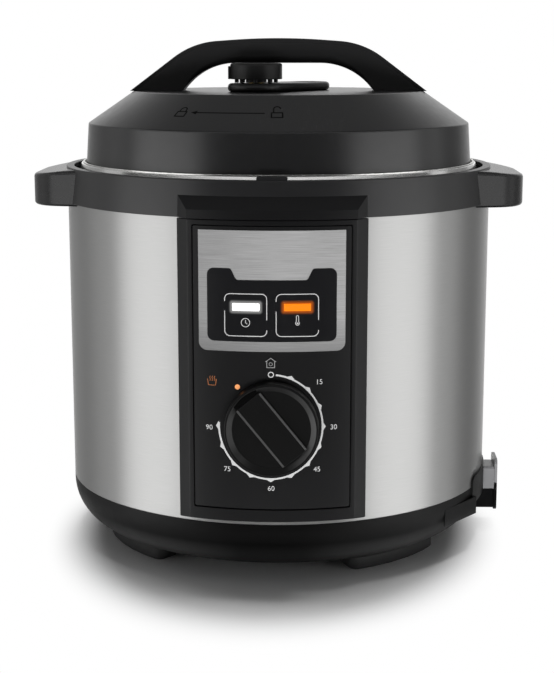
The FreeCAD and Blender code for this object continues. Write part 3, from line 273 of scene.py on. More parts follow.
# %% Finished pieces
def piece(name, bm, body, material, stands_for=(), sharp=35, scale=MM, even=True):
    """Make a bmesh a finished piece: doubles merged, normals outward, smooth except at sharp edges."""
    bmesh.ops.scale(bm, verts=bm.verts, vec=(scale, scale, scale))
    bmesh.ops.remove_doubles(bm, verts=bm.verts, dist=1e-6)
    bmesh.ops.recalc_face_normals(bm, faces=bm.faces)
    obj = mesh_object(name, bm)
    mesh = obj.data
    if "custom_normal" in mesh.attributes:
        mesh.attributes.remove(mesh.attributes["custom_normal"])
    mesh.shade_smooth()
    mesh.set_sharp_from_angle(angle=math.radians(sharp))
    mesh.materials.append(material)
    if even:
        shading = obj.modifiers.new("even shading", "WEIGHTED_NORMAL")
        shading.keep_sharp = True
    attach(obj, body)
    if stands_for:
        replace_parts(obj, *stands_for)
    print(f"{name}: {len(mesh.polygons)} faces")
    return obj


def cad_form(node_name, material):
    """A merged and smoothly shaded copy of a CAD node, which stands in for it."""
    bm = bmesh.new()
    bm.from_mesh(frame["nodes"][node_name].data)
    body = body_of[node_name]
    return piece(node_name + "_form", bm, body, material, [node_name], 32, 1.0)


# %% [markdown]
# ## Tools for finishes
# Each finish is a Principled shader with noise on Object coordinates. Bump gives the moulded grain, and a
# little noise in the roughness keeps a broad highlight from looking like plain plastic wrap. Object
# coordinates are in metres, so a scale of 1000 makes grain about a millimetre across.

# %% Nodes
def node(owner, kind, **links):
    """Add a node to a material, a world or a group; links are (node, output) pairs or plain values."""
    tree = getattr(owner, "node_tree", owner)
    made = tree.nodes.new(kind)
    for name, value in links.items():
        socket = made.inputs[int(name[1:])] if name[1:].isdigit() else made.inputs[name.replace("_", " ")]
        if isinstance(value, tuple) and isinstance(value[0], bpy.types.Node):
            tree.links.new(value[0].outputs[value[1]], socket)
        else:
            socket.default_value = value
    return made


def math_node(owner, operation, a, b=0.0):
    made = node(owner, "ShaderNodeMath", i0=a, i1=b)
    made.operation = operation
    return made


def vector_node(owner, operation, a, b=(0.0, 0.0, 0.0)):
    made = node(owner, "ShaderNodeVectorMath", i0=a, i1=b)
    made.operation = operation
    return made


def ramp(material, value, low, high, start, end):
    """A number that goes from start to end while value goes from low to high."""
    return node(material, "ShaderNodeMapRange", Value=value, From_Min=low, From_Max=high,
                To_Min=start, To_Max=end)


def object_parts(material):
    """X, Y and Z of a point of the piece, in metres."""
    place = node(material, "ShaderNodeTexCoord")
    return node(material, "ShaderNodeSeparateXYZ", Vector=(place, "Object"))


def into_shader(material, socket, made, output):
    shader = material.node_tree.nodes["Principled BSDF"]
    material.node_tree.links.new(made.outputs[output], shader.inputs[socket])


# %% Finishes
def finish(name, colour, roughness, **sockets):
    material = bpy.data.materials.new(name)
    material.use_nodes = True
    shader = material.node_tree.nodes["Principled BSDF"]
    shader.inputs["Base Color"].default_value = (*colour, 1)
    shader.inputs["Roughness"].default_value = roughness
    for socket, value in sockets.items():
        shader.inputs[socket.replace("_", " ")].default_value = value
    return material


def relief(material, height, strength, depth=0.0001):
    """Let a pattern raise and sink the surface."""
    bump = node(material, "ShaderNodeBump", Strength=strength, Distance=depth, Height=height)
    into_shader(material, "Normal", bump, "Normal")


def grained(name, colour, roughness, scale, strength, wander=None, shine=0.5, **sockets):
    """A finish with moulded grain; a slower noise lets its roughness wander between two values."""
    material = finish(name, colour, roughness, Specular_IOR_Level=shine, **sockets)
    place = node(material, "ShaderNodeTexCoord")
    fine = node(material, "ShaderNodeTexNoise", Vector=(place, "Object"), Scale=scale, Detail=2.0)
    relief(material, (fine, "Fac"), strength)
    if wander:
        slow = node(material, "ShaderNodeTexNoise", Vector=(place, "Object"), Scale=scale / 12, Detail=3.0)
        into_shader(material, "Roughness", ramp(material, (slow, "Fac"), 0.0, 1.0, *wander), "Result")
    return material


def brushed(material, lines, along, rough, shade, bump_strength=0.02, flat=False):
    """Brushed metal: noise drawn out along the stroke, round the drum or straight across a flat sheet."""
    parts = object_parts(material)
    if flat:
        stroke_way = math_node(material, "MULTIPLY", (parts, "X"), along)
    else:
        forward = math_node(material, "MULTIPLY", (parts, "Y"), -1.0)
        turn = math_node(material, "ARCTAN2", (parts, "X"), (forward, 0))
        stroke_way = math_node(material, "MULTIPLY", (turn, 0), along)
    across = math_node(material, "MULTIPLY", (parts, "Z"), lines)
    spot = node(material, "ShaderNodeCombineXYZ", X=(stroke_way, 0), Y=(across, 0))
    streak = node(material, "ShaderNodeTexNoise", Vector=(spot, 0), Scale=1.0, Detail=4.0, Roughness=0.65)
    into_shader(material, "Roughness", ramp(material, (streak, "Fac"), 0.0, 1.0, *rough), "Result")
    tint = node(material, "ShaderNodeValToRGB", Fac=(streak, "Fac"))
    for stop, position, colour in zip(tint.color_ramp.elements, (0.25, 0.75), shade):
        stop.position = position
        stop.color = (*colour, 1)
    into_shader(material, "Base Color", tint, "Color")
    relief(material, (streak, "Fac"), bump_strength)
    return material


# %% [markdown]
# ## The cooker's finishes
# The mouldings are all black plastic, but each takes the light in its own way, so each large one has a
# shine and a roughness of its own. The numbers after the colour are the roughness, the scale and strength
# of the grain, the range in which the roughness wanders, and the shine.

# %% Black plastics
satin_black = grained("satin_black", (0.005, 0.005, 0.0053), 0.36, 2600, 0.1, (0.31, 0.41), 0.62)
lid_black = grained("lid_black", (0.004, 0.004, 0.0042), 0.3, 2600, 0.08, (0.26, 0.36), 0.78)
panel_black = grained("panel_black", (0.003, 0.003, 0.0032), 0.42, 2600, 0.1, (0.38, 0.48), 0.3)
grip_black = grained("grip_black", (0.005, 0.005, 0.0053), 0.28, 2600, 0.08, (0.24, 0.32), 0.38)
handle_black = grained("handle_black", (0.007, 0.007, 0.0072), 0.4, 2600, 0.1, (0.36, 0.44), 0.45)
valve_black = grained("valve_black", (0.0045, 0.0045, 0.0045), 0.42, 3000, 0.08, (0.38, 0.46), 0.35)
base_black = grained("base_black", (0.0008, 0.0008, 0.0009), 0.42, 2200, 0.15, (0.38, 0.48), 0.14)
inlet_black = grained("inlet_black", (0.0008, 0.0008, 0.0009), 0.42, 2200, 0.15, (0.38, 0.48), 0.2)
knob_black = grained("knob_black", (0.003, 0.003, 0.003), 0.42, 3000, 0.08, (0.38, 0.46), 0.2)
fascia_black = grained("fascia_black", (0.005, 0.005, 0.0052), 0.38, 3400, 0.05, (0.34, 0.42), 0.28)
rubber_black = grained("rubber_black", (0.022, 0.022, 0.022), 0.7, 1500, 0.2, (0.65, 0.75))
# A paler black for the painted highlights on the knob bar's edges.
painted_edge_highlight = grained("painted_edge_highlight", (0.03, 0.03, 0.03), 0.35, 3000, 0.05)
dish_black = grained("dish_black", (0.003, 0.003, 0.003), 0.3, 3000, 0.05, None, 0.35)
# Dead black for the lid guide's print and for films of painted shade.
ink_and_shade_black = grained("ink_and_shade_black", (0.001, 0.001, 0.001), 0.6, 2000, 0.05, None, 0.05)
print("black plastics:", len(bpy.data.materials))

# %% [markdown]
# The base has a painted reflection of the lit table: it is paler low down, more so towards its sides,
# and the knob's bowl has a painted highlight on its right.
# A ramp on the Object coordinates turns a place on the piece into a shade. The cover of the handle has a
# deeper, leathery grain that the hand can feel, so it gets a cell pattern.

# %% Painted reflection, painted highlight and leather
base_parts = object_parts(base_black)
base_side = math_node(base_black, "ABSOLUTE", (base_parts, "X"))
# Painted reflection: the base's colour is paler low down and paler still towards its sides.
painted_low_reflection = ramp(base_black, (base_parts, "Z"), 0.028, 0.018, 0.0008, 0.006)
outward = ramp(base_black, (base_side, 0), 0.02, 0.09, 0.7, 4.5)
painted_base_reflection = math_node(base_black, "MULTIPLY", (painted_low_reflection, "Result"), (outward, "Result"))
into_shader(base_black, "Base Color", painted_base_reflection, 0)
# Painted highlight: the knob's bowl is paler on its right.
painted_dish_highlight = ramp(dish_black, (object_parts(dish_black), "X"), 0.008, 0.027, 0.003, 0.02)
into_shader(dish_black, "Base Color", painted_dish_highlight, "Result")
leather_black = finish("leather_black", (0.009, 0.009, 0.0092), 0.6, Specular_IOR_Level=0.12)
leather_place = node(leather_black, "ShaderNodeTexCoord")
cells = node(leather_black, "ShaderNodeTexVoronoi", Vector=(leather_place, "Object"), Scale=750.0)
relief(leather_black, (cells, "Distance"), 0.35, 0.0003)

# %% [markdown]
# The drum is steel brushed round its axis and the panel's plate is brushed straight across. The plate is
# a dull silver and falls into shade at its foot and its left, so two ramps dim its streaks.

# %% Metals
drum_steel = brushed(finish("drum_steel", (0.6, 0.6, 0.59), 0.34, Metallic=1.0), 5200, 9.0, (0.27, 0.40),
                     ((0.39, 0.39, 0.385), (0.47, 0.47, 0.465)))
ring_steel = brushed(finish("ring_steel", (0.75, 0.75, 0.73), 0.25, Metallic=1.0), 3000, 6.0, (0.20, 0.30),
                     ((0.72, 0.72, 0.70), (0.80, 0.80, 0.78)))
plate_silver = brushed(finish("plate_silver", (0.3, 0.3, 0.3), 0.4, Metallic=0.2), 4200, 40.0, (0.38, 0.52),
                       ((0.14, 0.14, 0.14), (0.30, 0.30, 0.30)), 0.04, True)
plate_shader = plate_silver.node_tree.nodes["Principled BSDF"]
plate_streaks = plate_shader.inputs["Base Color"].links[0].from_node
plate_parts = object_parts(plate_silver)
from_foot = ramp(plate_silver, (plate_parts, "Z"), 0.152, 0.175, 0.62, 1.0)
from_left = ramp(plate_silver, (plate_parts, "X"), -0.045, 0.0, 0.78, 1.0)
plate_light = math_node(plate_silver, "MULTIPLY", (from_foot, "Result"), (from_left, "Result"))
plate_shade = vector_node(plate_silver, "MULTIPLY", (plate_streaks, 0), (plate_light, 0))
into_shader(plate_silver, "Base Color", plate_shade, "Vector")
rim_steel = grained("rim_steel", (0.80, 0.80, 0.79), 0.18, 1600, 0.03, (0.15, 0.21), Metallic=0.85)
plain_steel = grained("plain_steel", (0.55, 0.55, 0.54), 0.3, 900, 0.03, (0.25, 0.36), Metallic=1.0)
cast_aluminium = grained("cast_aluminium", (0.66, 0.66, 0.66), 0.42, 1400, 0.1, (0.36, 0.5), Metallic=1.0)
turned_brass = grained("turned_brass", (0.71, 0.55, 0.26), 0.3, 1200, 0.04, (0.25, 0.35), Metallic=1.0)

# %% [markdown]
# The rest is inside the cooker, printed on its panel or lit. The lamps give a little light of their own.

# %% Inner pieces, inks and lamps
pot_coating = grained("pot_coating", (0.05, 0.05, 0.052), 0.38, 4200, 0.1, (0.32, 0.44))
seal_silicone = grained("seal_silicone", (0.72, 0.72, 0.70), 0.5, 900, 0.04, Subsurface_Weight=0.15)
inner_plastic = grained("inner_plastic", (0.11, 0.11, 0.12), 0.5, 1500, 0.08, (0.45, 0.56))
board_green = grained("board_green", (0.03, 0.14, 0.06), 0.4, 1500, 0.05)
smoky_plastic = grained("smoky_plastic", (0.135, 0.135, 0.14), 0.35, 900, 0.03, Transmission_Weight=0.2)
print_grey = grained("print_grey", (0.30, 0.30, 0.30), 0.5, 3000, 0.02)
print_dim = grained("print_dim", (0.17, 0.17, 0.17), 0.5, 3000, 0.02)
print_orange = grained("print_orange", (0.52, 0.21, 0.08), 0.5, 3000, 0.02)
print_rust = grained("print_rust", (0.22, 0.075, 0.025), 0.5, 3000, 0.02)
lamp_white = grained("lamp_white", (0.9, 0.9, 0.88), 0.3, 800, 0.02,
                     Emission_Color=(1, 1, 0.98, 1), Emission_Strength=1.1)
lamp_orange = grained("lamp_orange", (0.35, 0.06, 0.002), 0.3, 800, 0.02,
                      Emission_Color=(1.0, 0.2, 0.002, 1), Emission_Strength=0.78)

finish_of = {
    "black_plastic": satin_black, "gloss_black": fascia_black, "foot_rubber": rubber_black,
    "brushed_steel": ring_steel, "zinc_steel": plain_steel, "aluminium": cast_aluminium,
    "pot_coating": pot_coating, "silicone": seal_silicone, "brass": turned_brass,
    "inner_plastic": inner_plastic, "circuit_board": board_green, "clear_plastic": smoky_plastic,
    "white_lens": lamp_white, "orange_lens": lamp_orange,
}
print("finishes:", len(bpy.data.materials))

# %% [markdown]
# ## Steel drum
# The drum is a rolled sheet, so it is drawn as a grid: columns round the axis, rows up the wall, and the
# cells behind the panel and the inlet tower left out. Every vertex lies exactly on the cylinder, which
# keeps the long reflections straight. Solidify then gives the sheet its thickness, inward.

# %% Drum
drum_radius = 145.0
drum_low = 42.0
drum_high = 234.3
drum_hem = 0.4
sheet_thickness = 0.6
window_low = 56.0
window_high = 222.0
tower_high = 47.0
front_turn = 1.5 * math.pi
window_turn = math.asin(50.0 / drum_radius)
tower_turn = math.asin(56.0 / drum_radius)
cuts = {front_turn - window_turn, front_turn + window_turn, tower_turn, 2 * math.pi - tower_turn}
columns = sorted({2 * math.pi * k / 240 for k in range(240)} | cuts)
rows = [drum_low, drum_low + drum_hem, tower_high, window_low, 100.0, 150.0, 200.0, window_high,
        drum_high - drum_hem, drum_high]
drum = bmesh.new()
around = [(drum_radius * math.cos(t), drum_radius * math.sin(t)) for t in columns]
grid = [[drum.verts.new((x, y, height)) for x, y in around] for height in rows]
for i in range(len(rows) - 1):
    height = (rows[i] + rows[i + 1]) / 2
    for k in range(len(columns)):
        following = columns[k + 1] if k + 1 < len(columns) else 2 * math.pi
        turn = (columns[k] + following) / 2
        behind_panel = abs(turn - front_turn) < window_turn and window_low < height < window_high
        behind_tower = min(turn, 2 * math.pi - turn) < tower_turn and height < tower_high
        if not behind_panel and not behind_tower:
            n = (k + 1) % len(columns)
            drum.faces.new([grid[i][k], grid[i][n], grid[i + 1][n], grid[i + 1][k]])
steel_drum = piece("steel_drum", drum, "housing", drum_steel, ["outer_shell"], even=False)
first_face = steel_drum.data.polygons[0]
if first_face.normal.dot(first_face.center * Vector((1, 1, 0))) < 0:
    steel_drum.data.flip_normals()
sheet = steel_drum.modifiers.new("sheet thickness", "SOLIDIFY")
sheet.thickness = sheet_thickness * MM
sheet.offset = -1

# %% [markdown]
# ## Control panel
# The frame, the fascia and the plates are slabs wrapped round the drum. The frame's ends slope in towards
# the front, so after the slab is cut its outer points move inward with their height. Edges get a bevel of
# a few tenths, enough to catch a thin line of light.

# %% Panel frame
panel_half = 58.9
panel_low = 45.4
panel_high = 233.7
panel_back = 145.3
panel_depth = 4.7
panel_slope = 7.2
panel_edge = 0.4
end_drop = 1.5
cut_reach = 52.0
fascia_half = 48.4
fascia_low = 53.5
fascia_high = 230.0
fascia_corner = 1.2
groove = 0.5
lip_out = groove + 0.4
lip_in = 2.0
wall_half = 52.0
wall_low = 51.7
wall_high = 225.4
wall_back = 138.3
wall_thick = 2.5
frame_hole = box_outline(fascia_half + groove, fascia_low - groove, fascia_high + groove,
                         fascia_corner, fascia_corner)
panel_outline = box_outline(panel_half, panel_low, panel_high, 0.6, 0.6)
front = slab([panel_outline, frame_hole], panel_depth, panel_edge)
for vert in front.verts:
    if abs(vert.co.x) > panel_half - 1.0:
        if vert.co.y < panel_low + 2.0:
            vert.co.y -= end_drop * (1 - vert.co.z / panel_depth)
        vert.co.x -= math.copysign(panel_slope * vert.co.z / panel_depth, vert.co.x)
lip = slab([box_outline(fascia_half + lip_out, fascia_low - lip_out, fascia_high + lip_out),
            box_outline(fascia_half - lip_in, fascia_low + lip_in, fascia_high - lip_in)], 1.6)
back_wall = slab([box_outline(wall_half, wall_low, wall_high),
                  box_outline(wall_half - wall_thick, wall_low + wall_thick, wall_high - wall_thick)], 7.2)
panel = joined([wrap_front(front, panel_back, cut_reach), wrap_front(lip, panel_back),
                wrap_front(back_wall, wall_back)])
piece("panel_surround", panel, "housing", panel_black, ["panel_frame"])

# %% Fascia and plate
fascia_back = 147.0
fascia_depth = 2.4
plate_back = 149.5
film_depth = 0.5
film_edge = 0.12
dial_z = 106.4
lens_x = 15.7
lens_z = 181.1
lens_half = 8.2
lens_tall = 2.2
lens_spare = 0.1


def lens_holes():
    """Openings for the two lamps, a little larger than their lenses."""
    half = lens_half + lens_spare
    tall = lens_tall + lens_spare
    return [box_outline(half, lens_z - tall, lens_z + tall, centre=x) for x in (-lens_x, lens_x)]


shaft_hole = arc(0, dial_z, 3.3, 0, 345, 23)
fascia_outline = box_outline(fascia_half, fascia_low, fascia_high, fascia_corner, fascia_corner)
fascia = slab([fascia_outline, shaft_hole] + lens_holes(), fascia_depth, panel_edge)
fascia = wrap_front(fascia, fascia_back)
piece("panel_face", fascia, "housing", fascia_black, ["panel_fascia"])
plate = slab([box_outline(44.9, 153.5, 227.7, 5.0, 0)] + lens_holes(), film_depth, film_edge)
plate = wrap_front(plate, plate_back)
piece("silver_plate", plate, "housing", plate_silver, ["display_plate"])

# %% [markdown]
# A lit lamp also lights the plastic round it, and this glow is painted: the window's shader measures
# how far a point is from each lamp's edge and lets a faint emission fade out over a few millimetres, so
# the glow belongs to the plastic itself.

# %% Window with its glow
window_back = 150.1
glow_reach = 0.0027
glow_share = 0.45
window_black = grained("window_black", (0.004, 0.004, 0.0045), 0.3, 3400, 0.03, (0.26, 0.34),
                       Emission_Strength=1.0)
window_parts = object_parts(window_black)


def beyond(material, value, middle, half):
    """How far value lies outside the stretch that reaches half to either side of middle."""
    off = math_node(material, "SUBTRACT", value, middle * MM)
    off = math_node(material, "ABSOLUTE", (off, 0))
    off = math_node(material, "SUBTRACT", (off, 0), half * MM)
    return math_node(material, "MAXIMUM", (off, 0), 0.0)


def lamp_glow(x, tint):
    """Light that fades away from the lamp at x."""
    side = beyond(window_black, (window_parts, "X"), x, lens_half)
    rise = beyond(window_black, (window_parts, "Z"), lens_z, lens_tall)
    away = node(window_black, "ShaderNodeCombineXYZ", X=(side, 0), Y=(rise, 0))
    far = vector_node(window_black, "LENGTH", (away, 0))
    fade = ramp(window_black, (far, "Value"), 0.0, glow_reach, glow_share, 0.0)
    fade.interpolation_type = "SMOOTHERSTEP"
    return vector_node(window_black, "MULTIPLY", tint, (fade, "Result"))


white_glow = lamp_glow(-lens_x, (0.62, 0.62, 0.61))
orange_glow = lamp_glow(lens_x, (0.8, 0.16, 0.0))
both_glows = vector_node(window_black, "ADD", (white_glow, "Vector"), (orange_glow, "Vector"))
into_shader(window_black, "Emission Color", both_glows, "Vector")

# %% Window and lamps
lens_back = 144.9
window_right = [(39.5, 159.7, 4.0), (39.5, 204.6, 4.0), (25.0, 204.6, 2.0), (21.6, 197.6, 2.0)]
window_outline = rounded(window_right + [(-u, v, r) for u, v, r in reversed(window_right)])
window = wrap_front(slab([window_outline] + lens_holes(), film_depth, film_edge), window_back)
piece("dark_window", window, "housing", window_black, ["display_window"])
for x, name, old, material in ((-lens_x, "white_lamp", "power_lens", lamp_white),
                               (lens_x, "orange_lamp", "heat_lens", lamp_orange)):
    lens = slab([box_outline(lens_half, lens_z - lens_tall, lens_z + lens_tall, 0.4, 0.4, x)], 6.0, 0.15)
    piece(name, wrap_front(lens, lens_back), "housing", material, [old])

# %% [markdown]
# ## Print on the panel
# Ink is a film, so each mark is a slab a few hundredths thick that follows the curved face. Lines become
# strokes with a width. The marks are plain: line frames round the lamps, a clock, a thermometer, a pot
# and figures for minutes on the dial.

# %% Line frames and lamp icons
ink = 0.06
sunk = 0.02
thin_line = 0.4
fascia_face = fascia_back + fascia_depth
window_face = window_back + film_depth


def print_marks(name, outlines, face_radius, material, extra=()):
    marks = [slab([outline], ink) for outline in outlines] + list(extra)
    wrapped = [wrap_front(mark, face_radius - sunk) for mark in marks]
    return piece(name, joined(wrapped), "housing", material)


def ring_marks(cu, cv, radius, width):
    """A circle line as two half strokes."""
    return [stroke(arc(cu, cv, radius, 0, 180), width), stroke(arc(cu, cv, radius, 180, 360), width)]


def lamp_frame(centre):
    """A rounded square line, open on its left above the lamp and on its right below it."""
    half = 12.85
    low = 163.2
    high = 189.2
    turn = 3.2
    left = centre - half
    right = centre + half
    top = [(left, high - 4.6)] + arc(left + turn, high - turn, turn, 270, 360, 6)
    top = top + arc(right - turn, high - turn, turn, 0, 90, 6) + [(right, high - 16.0)]
    bottom = [(left, high - 10.6)] + arc(left + turn, low + turn, turn, 270, 180, 6)
    bottom = bottom + arc(right - turn, low + turn, turn, 180, 90, 6) + [(right, low + 3.8)]
    return [stroke(top, 0.5), stroke(bottom, 0.5)]


clock_u = -15.9
hands = [[(clock_u, 173.3), (clock_u, 171.2)], [(clock_u, 171.5), (clock_u + 1.0, 170.7)]]
clock = ring_marks(clock_u, 171.6, 2.6, thin_line) + [stroke(hand, thin_line) for hand in hands]
bulb_u = 15.7
bulb_v = 171.3
stem = [(15.0, 172.2), (15.0, 175.2)] + arc(bulb_u, 175.4, 0.7, 270, 450, 8) + [(16.4, 172.2)]
bulb = arc(bulb_u, bulb_v, 1.15, 35, 325, 16)
thermometer = [stroke(stem, thin_line), stroke(bulb, thin_line), arc(bulb_u, bulb_v, 0.55, 0, 345, 12)]
lamp_marks = lamp_frame(-15.8) + lamp_frame(15.6) + clock + thermometer
print_marks("lamp_print", lamp_marks, window_face, print_grey)

# %% [markdown]
# The dial's ticks repeat, so Geometry Nodes places them: one small triangle is instanced at equal turns
# on an oval. The count, the radius and the turn between ticks are inputs of the node group, so another
# dial only needs other numbers. The result is read back as a plain mesh and wrapped on the fascia like
# the rest of the ink.

# %% Dial ticks by Geometry Nodes
scale_u = -0.7
scale_v = 106.1
ticks = bpy.data.node_groups.new("ticks on a dial", "GeometryNodeTree")
ticks.interface.new_socket("Geometry", in_out="OUTPUT", socket_type="NodeSocketGeometry")
tick_inputs = {}
for label, kind, value in (("Count", "Int", 12), ("Radius", "Float", 32.7), ("Tall", "Float", 1.033),
                           ("First Turn", "Float", 22.5), ("Turn Between", "Float", 22.5),
                           ("Reach", "Float", 1.2), ("Width", "Float", 3.5), ("Depth", "Float", ink),
                           ("Material", "Material", print_grey)):
    socket = ticks.interface.new_socket(label, in_out="INPUT", socket_type="NodeSocket" + kind)
    tick_inputs[socket.identifier] = value
given = node(ticks, "NodeGroupInput")
tick = node(ticks, "GeometryNodeMeshCylinder", Vertices=3, Radius=1.0, Depth=(given, "Depth"))
tick_size = node(ticks, "ShaderNodeCombineXYZ", X=(given, "Reach"), Y=(given, "Width"), Z=1.0)
number = node(ticks, "GeometryNodeInputIndex")
steps_round = math_node(ticks, "MULTIPLY", (number, 0), (given, "Turn Between"))
degrees_round = math_node(ticks, "ADD", (steps_round, 0), (given, "First Turn"))
radians_round = math_node(ticks, "RADIANS", (degrees_round, 0))
sine = math_node(ticks, "SINE", (radians_round, 0))
cosine = math_node(ticks, "COSINE", (radians_round, 0))
out_u = math_node(ticks, "MULTIPLY", (sine, 0), (given, "Radius"))
upright = math_node(ticks, "MULTIPLY", (cosine, 0), (given, "Radius"))
out_v = math_node(ticks, "MULTIPLY", (upright, 0), (given, "Tall"))
tick_spot = node(ticks, "ShaderNodeCombineXYZ", X=(out_u, 0), Y=(out_v, 0))
points = node(ticks, "GeometryNodePoints", Count=(given, "Count"), Position=(tick_spot, 0))
backward = math_node(ticks, "MULTIPLY", (radians_round, 0), -1.0)
outward_turn = math_node(ticks, "ADD", (backward, 0), math.pi / 2)
facing = node(ticks, "ShaderNodeCombineXYZ", Z=(outward_turn, 0))
instances = node(ticks, "GeometryNodeInstanceOnPoints", Points=(points, 0), Instance=(tick, 0),
                 Rotation=(facing, 0), Scale=(tick_size, 0))
real = node(ticks, "GeometryNodeRealizeInstances", Geometry=(instances, 0))
inked = node(ticks, "GeometryNodeSetMaterial", Geometry=(real, 0), Material=(given, "Material"))
node(ticks, "NodeGroupOutput", Geometry=(inked, 0))

holder = linked("ticks", bpy.data.meshes.new("ticks"))
modifier = holder.modifiers.new("ticks", "NODES")
modifier.node_group = ticks
for identifier, value in tick_inputs.items():
    modifier[identifier] = value
tick_marks = moved(evaluated(holder), scale_u, scale_v, ink / 2)
for face in tick_marks.faces:
    face.material_index = 0
print("ticks on the dial:", len(tick_marks.faces) // 5)

# %% Dial scale and figures
scale_line = []
for k in range(12):
    turns = [math.radians(5.8 + 22.35 * (k + part / 8)) for part in range(9)]
    path = [(scale_u + 32.0 * math.sin(t), scale_v + 33.06 * math.cos(t)) for t in turns]
    scale_line.append(stroke(path, 1.1))
off_ring = ring_marks(-0.5, 139.2, 1.6, 0.6)
figure_size = 4.4
figure_spots = {15: (29.1, 134.2), 30: (38.1, 105.3), 45: (28.0, 78.8),
                60: (-0.4, 66.9), 75: (-27.7, 78.6), 90: (-38.9, 104.6)}


def figure(minutes, u, v):
    """Plain figures as a slab centred on u, v."""
    curve = bpy.data.curves.new("figures", "FONT")
    curve.body = str(minutes)
    curve.size = figure_size
    curve.align_x = "CENTER"
    curve.align_y = "CENTER"
    curve.extrude = ink / 2
    return moved(filled(curve, ink), u, v, 0)


figures = [figure(minutes, u, v) for minutes, (u, v) in figure_spots.items()]
print_marks("dial_print", scale_line + off_ring, fascia_face, print_grey, figures + [tick_marks])

# %% Pot and steam marks
icon_u = -0.6
pot_lines = [[(icon_u - 3.2, 147.2), (icon_u, 149.5), (icon_u + 3.2, 147.2)],
             [(icon_u - 2.6, 143.6), (icon_u + 2.6, 143.6)],
             [(icon_u - 2.4, 147.6), (icon_u - 2.4, 143.7)],
             [(icon_u + 2.4, 147.6), (icon_u + 2.4, 143.7)]]
pot_eye = ring_marks(icon_u, 145.8, 1.0, 0.3)
print_marks("pot_print", [stroke(line, thin_line) for line in pot_lines] + pot_eye, fascia_face, print_dim)
print_marks("steam_dot", [arc(-21.1, 131.1, 1.6, 0, 345, 23)], fascia_face, print_orange)
pan = stroke([(-39.7, 135.4), (-39.2, 131.6), (-34.7, 131.6), (-34.2, 135.4)], thin_line)
steam = []
for u in (-38.3, -36.9, -35.5):
    steam.append(stroke([(u, 134.2), (u + 0.45, 135.2), (u - 0.1, 136.3), (u + 0.4, 137.4)], 0.3))
print_marks("steam_print", [pan] + steam, fascia_face, print_rust)

# %% [markdown]
# ## Timer knob
# The knob is a turned cup with a shallow bowl in its face and a bar across the bowl, almost level with
# the rim. All is drawn upright on the Z axis, then turned to its resting angle and laid forward on the
# shaft. Thin beads in a paler black along the bar's long edges are painted highlights.

# %% Knob
knob_back = 150.2
knob_height = 9.4
bowl_floor = knob_height - 2.4
cup = lathe(rounded([(0, 0, 0), (28.9, 0, 0.4), (28.9, knob_height, 0.8), (27.7, knob_height, 0.3),
                     (24.1, bowl_floor, 0.5), (0, bowl_floor, 0)]), 128)
bar = slab([box_outline(9.3, -23.2, 23.2, 1.0, 1.0, 0.3)], 3.4, 0.7, 3)
lay_forward = Matrix.Translation((0, -knob_back, dial_z)) @ Matrix.Rotation(math.radians(90), 4, "X")
lay_turned = lay_forward @ Matrix.Rotation(math.radians(39.0), 4, "Z")
knob = placed(joined([cup, moved(bar, 0, 0, knob_height - 3.7)]), lay_turned)
piece("dial_knob", knob, "knob", knob_black, ["timer_knob"])

# %% Painted highlights and shade on the knob
# Painted highlights: beads of a paler black along the bar's long edges.
highlight_beads = []
for x in (-8.5, 9.1):
    highlight_bead = slab([box_outline(0.7, -22.6, 22.6, 0.3, 0.3, x)], 1.3, 0.45, 3)
    highlight_beads.append(moved(highlight_bead, 0, 0, knob_height - 1.32))
piece("knob_edge_highlights", placed(joined(highlight_beads), lay_turned), "knob", painted_edge_highlight)
# A thin film on the bowl's slope carries the bowl's painted highlight.
dish = lathe([(27.5, knob_height - 0.1), (24.3, knob_height - 2.2),
              (24.3, knob_height - 2.6), (27.5, knob_height - 0.5)], 128)
piece("knob_dish", placed(dish, lay_forward), "knob", dish_black)
# Painted shade: a dead black film at the bar's upper end, where its end wall lies in shade.
painted_end_shade = slab([arc(0, 0, 26.9, -19.0, 19.0, 16) + [(8.0, 23.9), (-8.0, 23.9)]], 0.3)
painted_end_shade = placed(moved(painted_end_shade, 0, 0, knob_height - 0.45), lay_turned)
piece("knob_end_shade", painted_end_shade, "knob", ink_and_shade_black)

# %% [markdown]
# ## Lid
# The lid's cover is a plain turned form: an upright skirt, a cone and a flat top. A few points either
# side of each rounded crease hold the flat parts flat, because smooth shading averages the faces that
# meet at a point.

# %% Lid cover
lid_low = 258.3
lid_crease = 285.3
lid_top = 306.6
crease_radius = 130.1
top_radius = 98.9
cover = lathe(rounded([
    (0, lid_top, 0), (top_radius, lid_top, 2.0), (crease_radius, lid_crease, 1.6), (131.9, lid_low, 0.6),
    (128.9, lid_low, 0), (127.1, 284.3, 0), (98.0, 303.6, 0), (0, 303.6, 0),
]), 240)
piece("lid_shell", cover, "lid", lid_black, ["lid_cover"])

# %% [markdown]
# The lid carries a small guide in dark lines: a shut and an open padlock with an arrow between them. It
# is drawn flat and laid on the cone, where one direction runs round the lid and the other up its slope.

# %% Guide on the lid's slope
cone_lean = math.atan2(lid_top - lid_crease, crease_radius - top_radius)
middle_radius = (crease_radius + top_radius) / 2
middle_height = (lid_top + lid_crease) / 2
guide_depth = 0.08
guide_line = 0.8


def on_cone(bm):
    cut_upright(bm, 3.0)
    for vert in bm.verts:
        u, v, w = vert.co
        turn = u / middle_radius
        lift = w - sunk
        radius = middle_radius - v * math.cos(cone_lean) + lift * math.sin(cone_lean)
        height = middle_height + v * math.sin(cone_lean) + lift * math.cos(cone_lean)
        vert.co = (radius * math.sin(turn), -radius * math.cos(turn), height)
    return bm


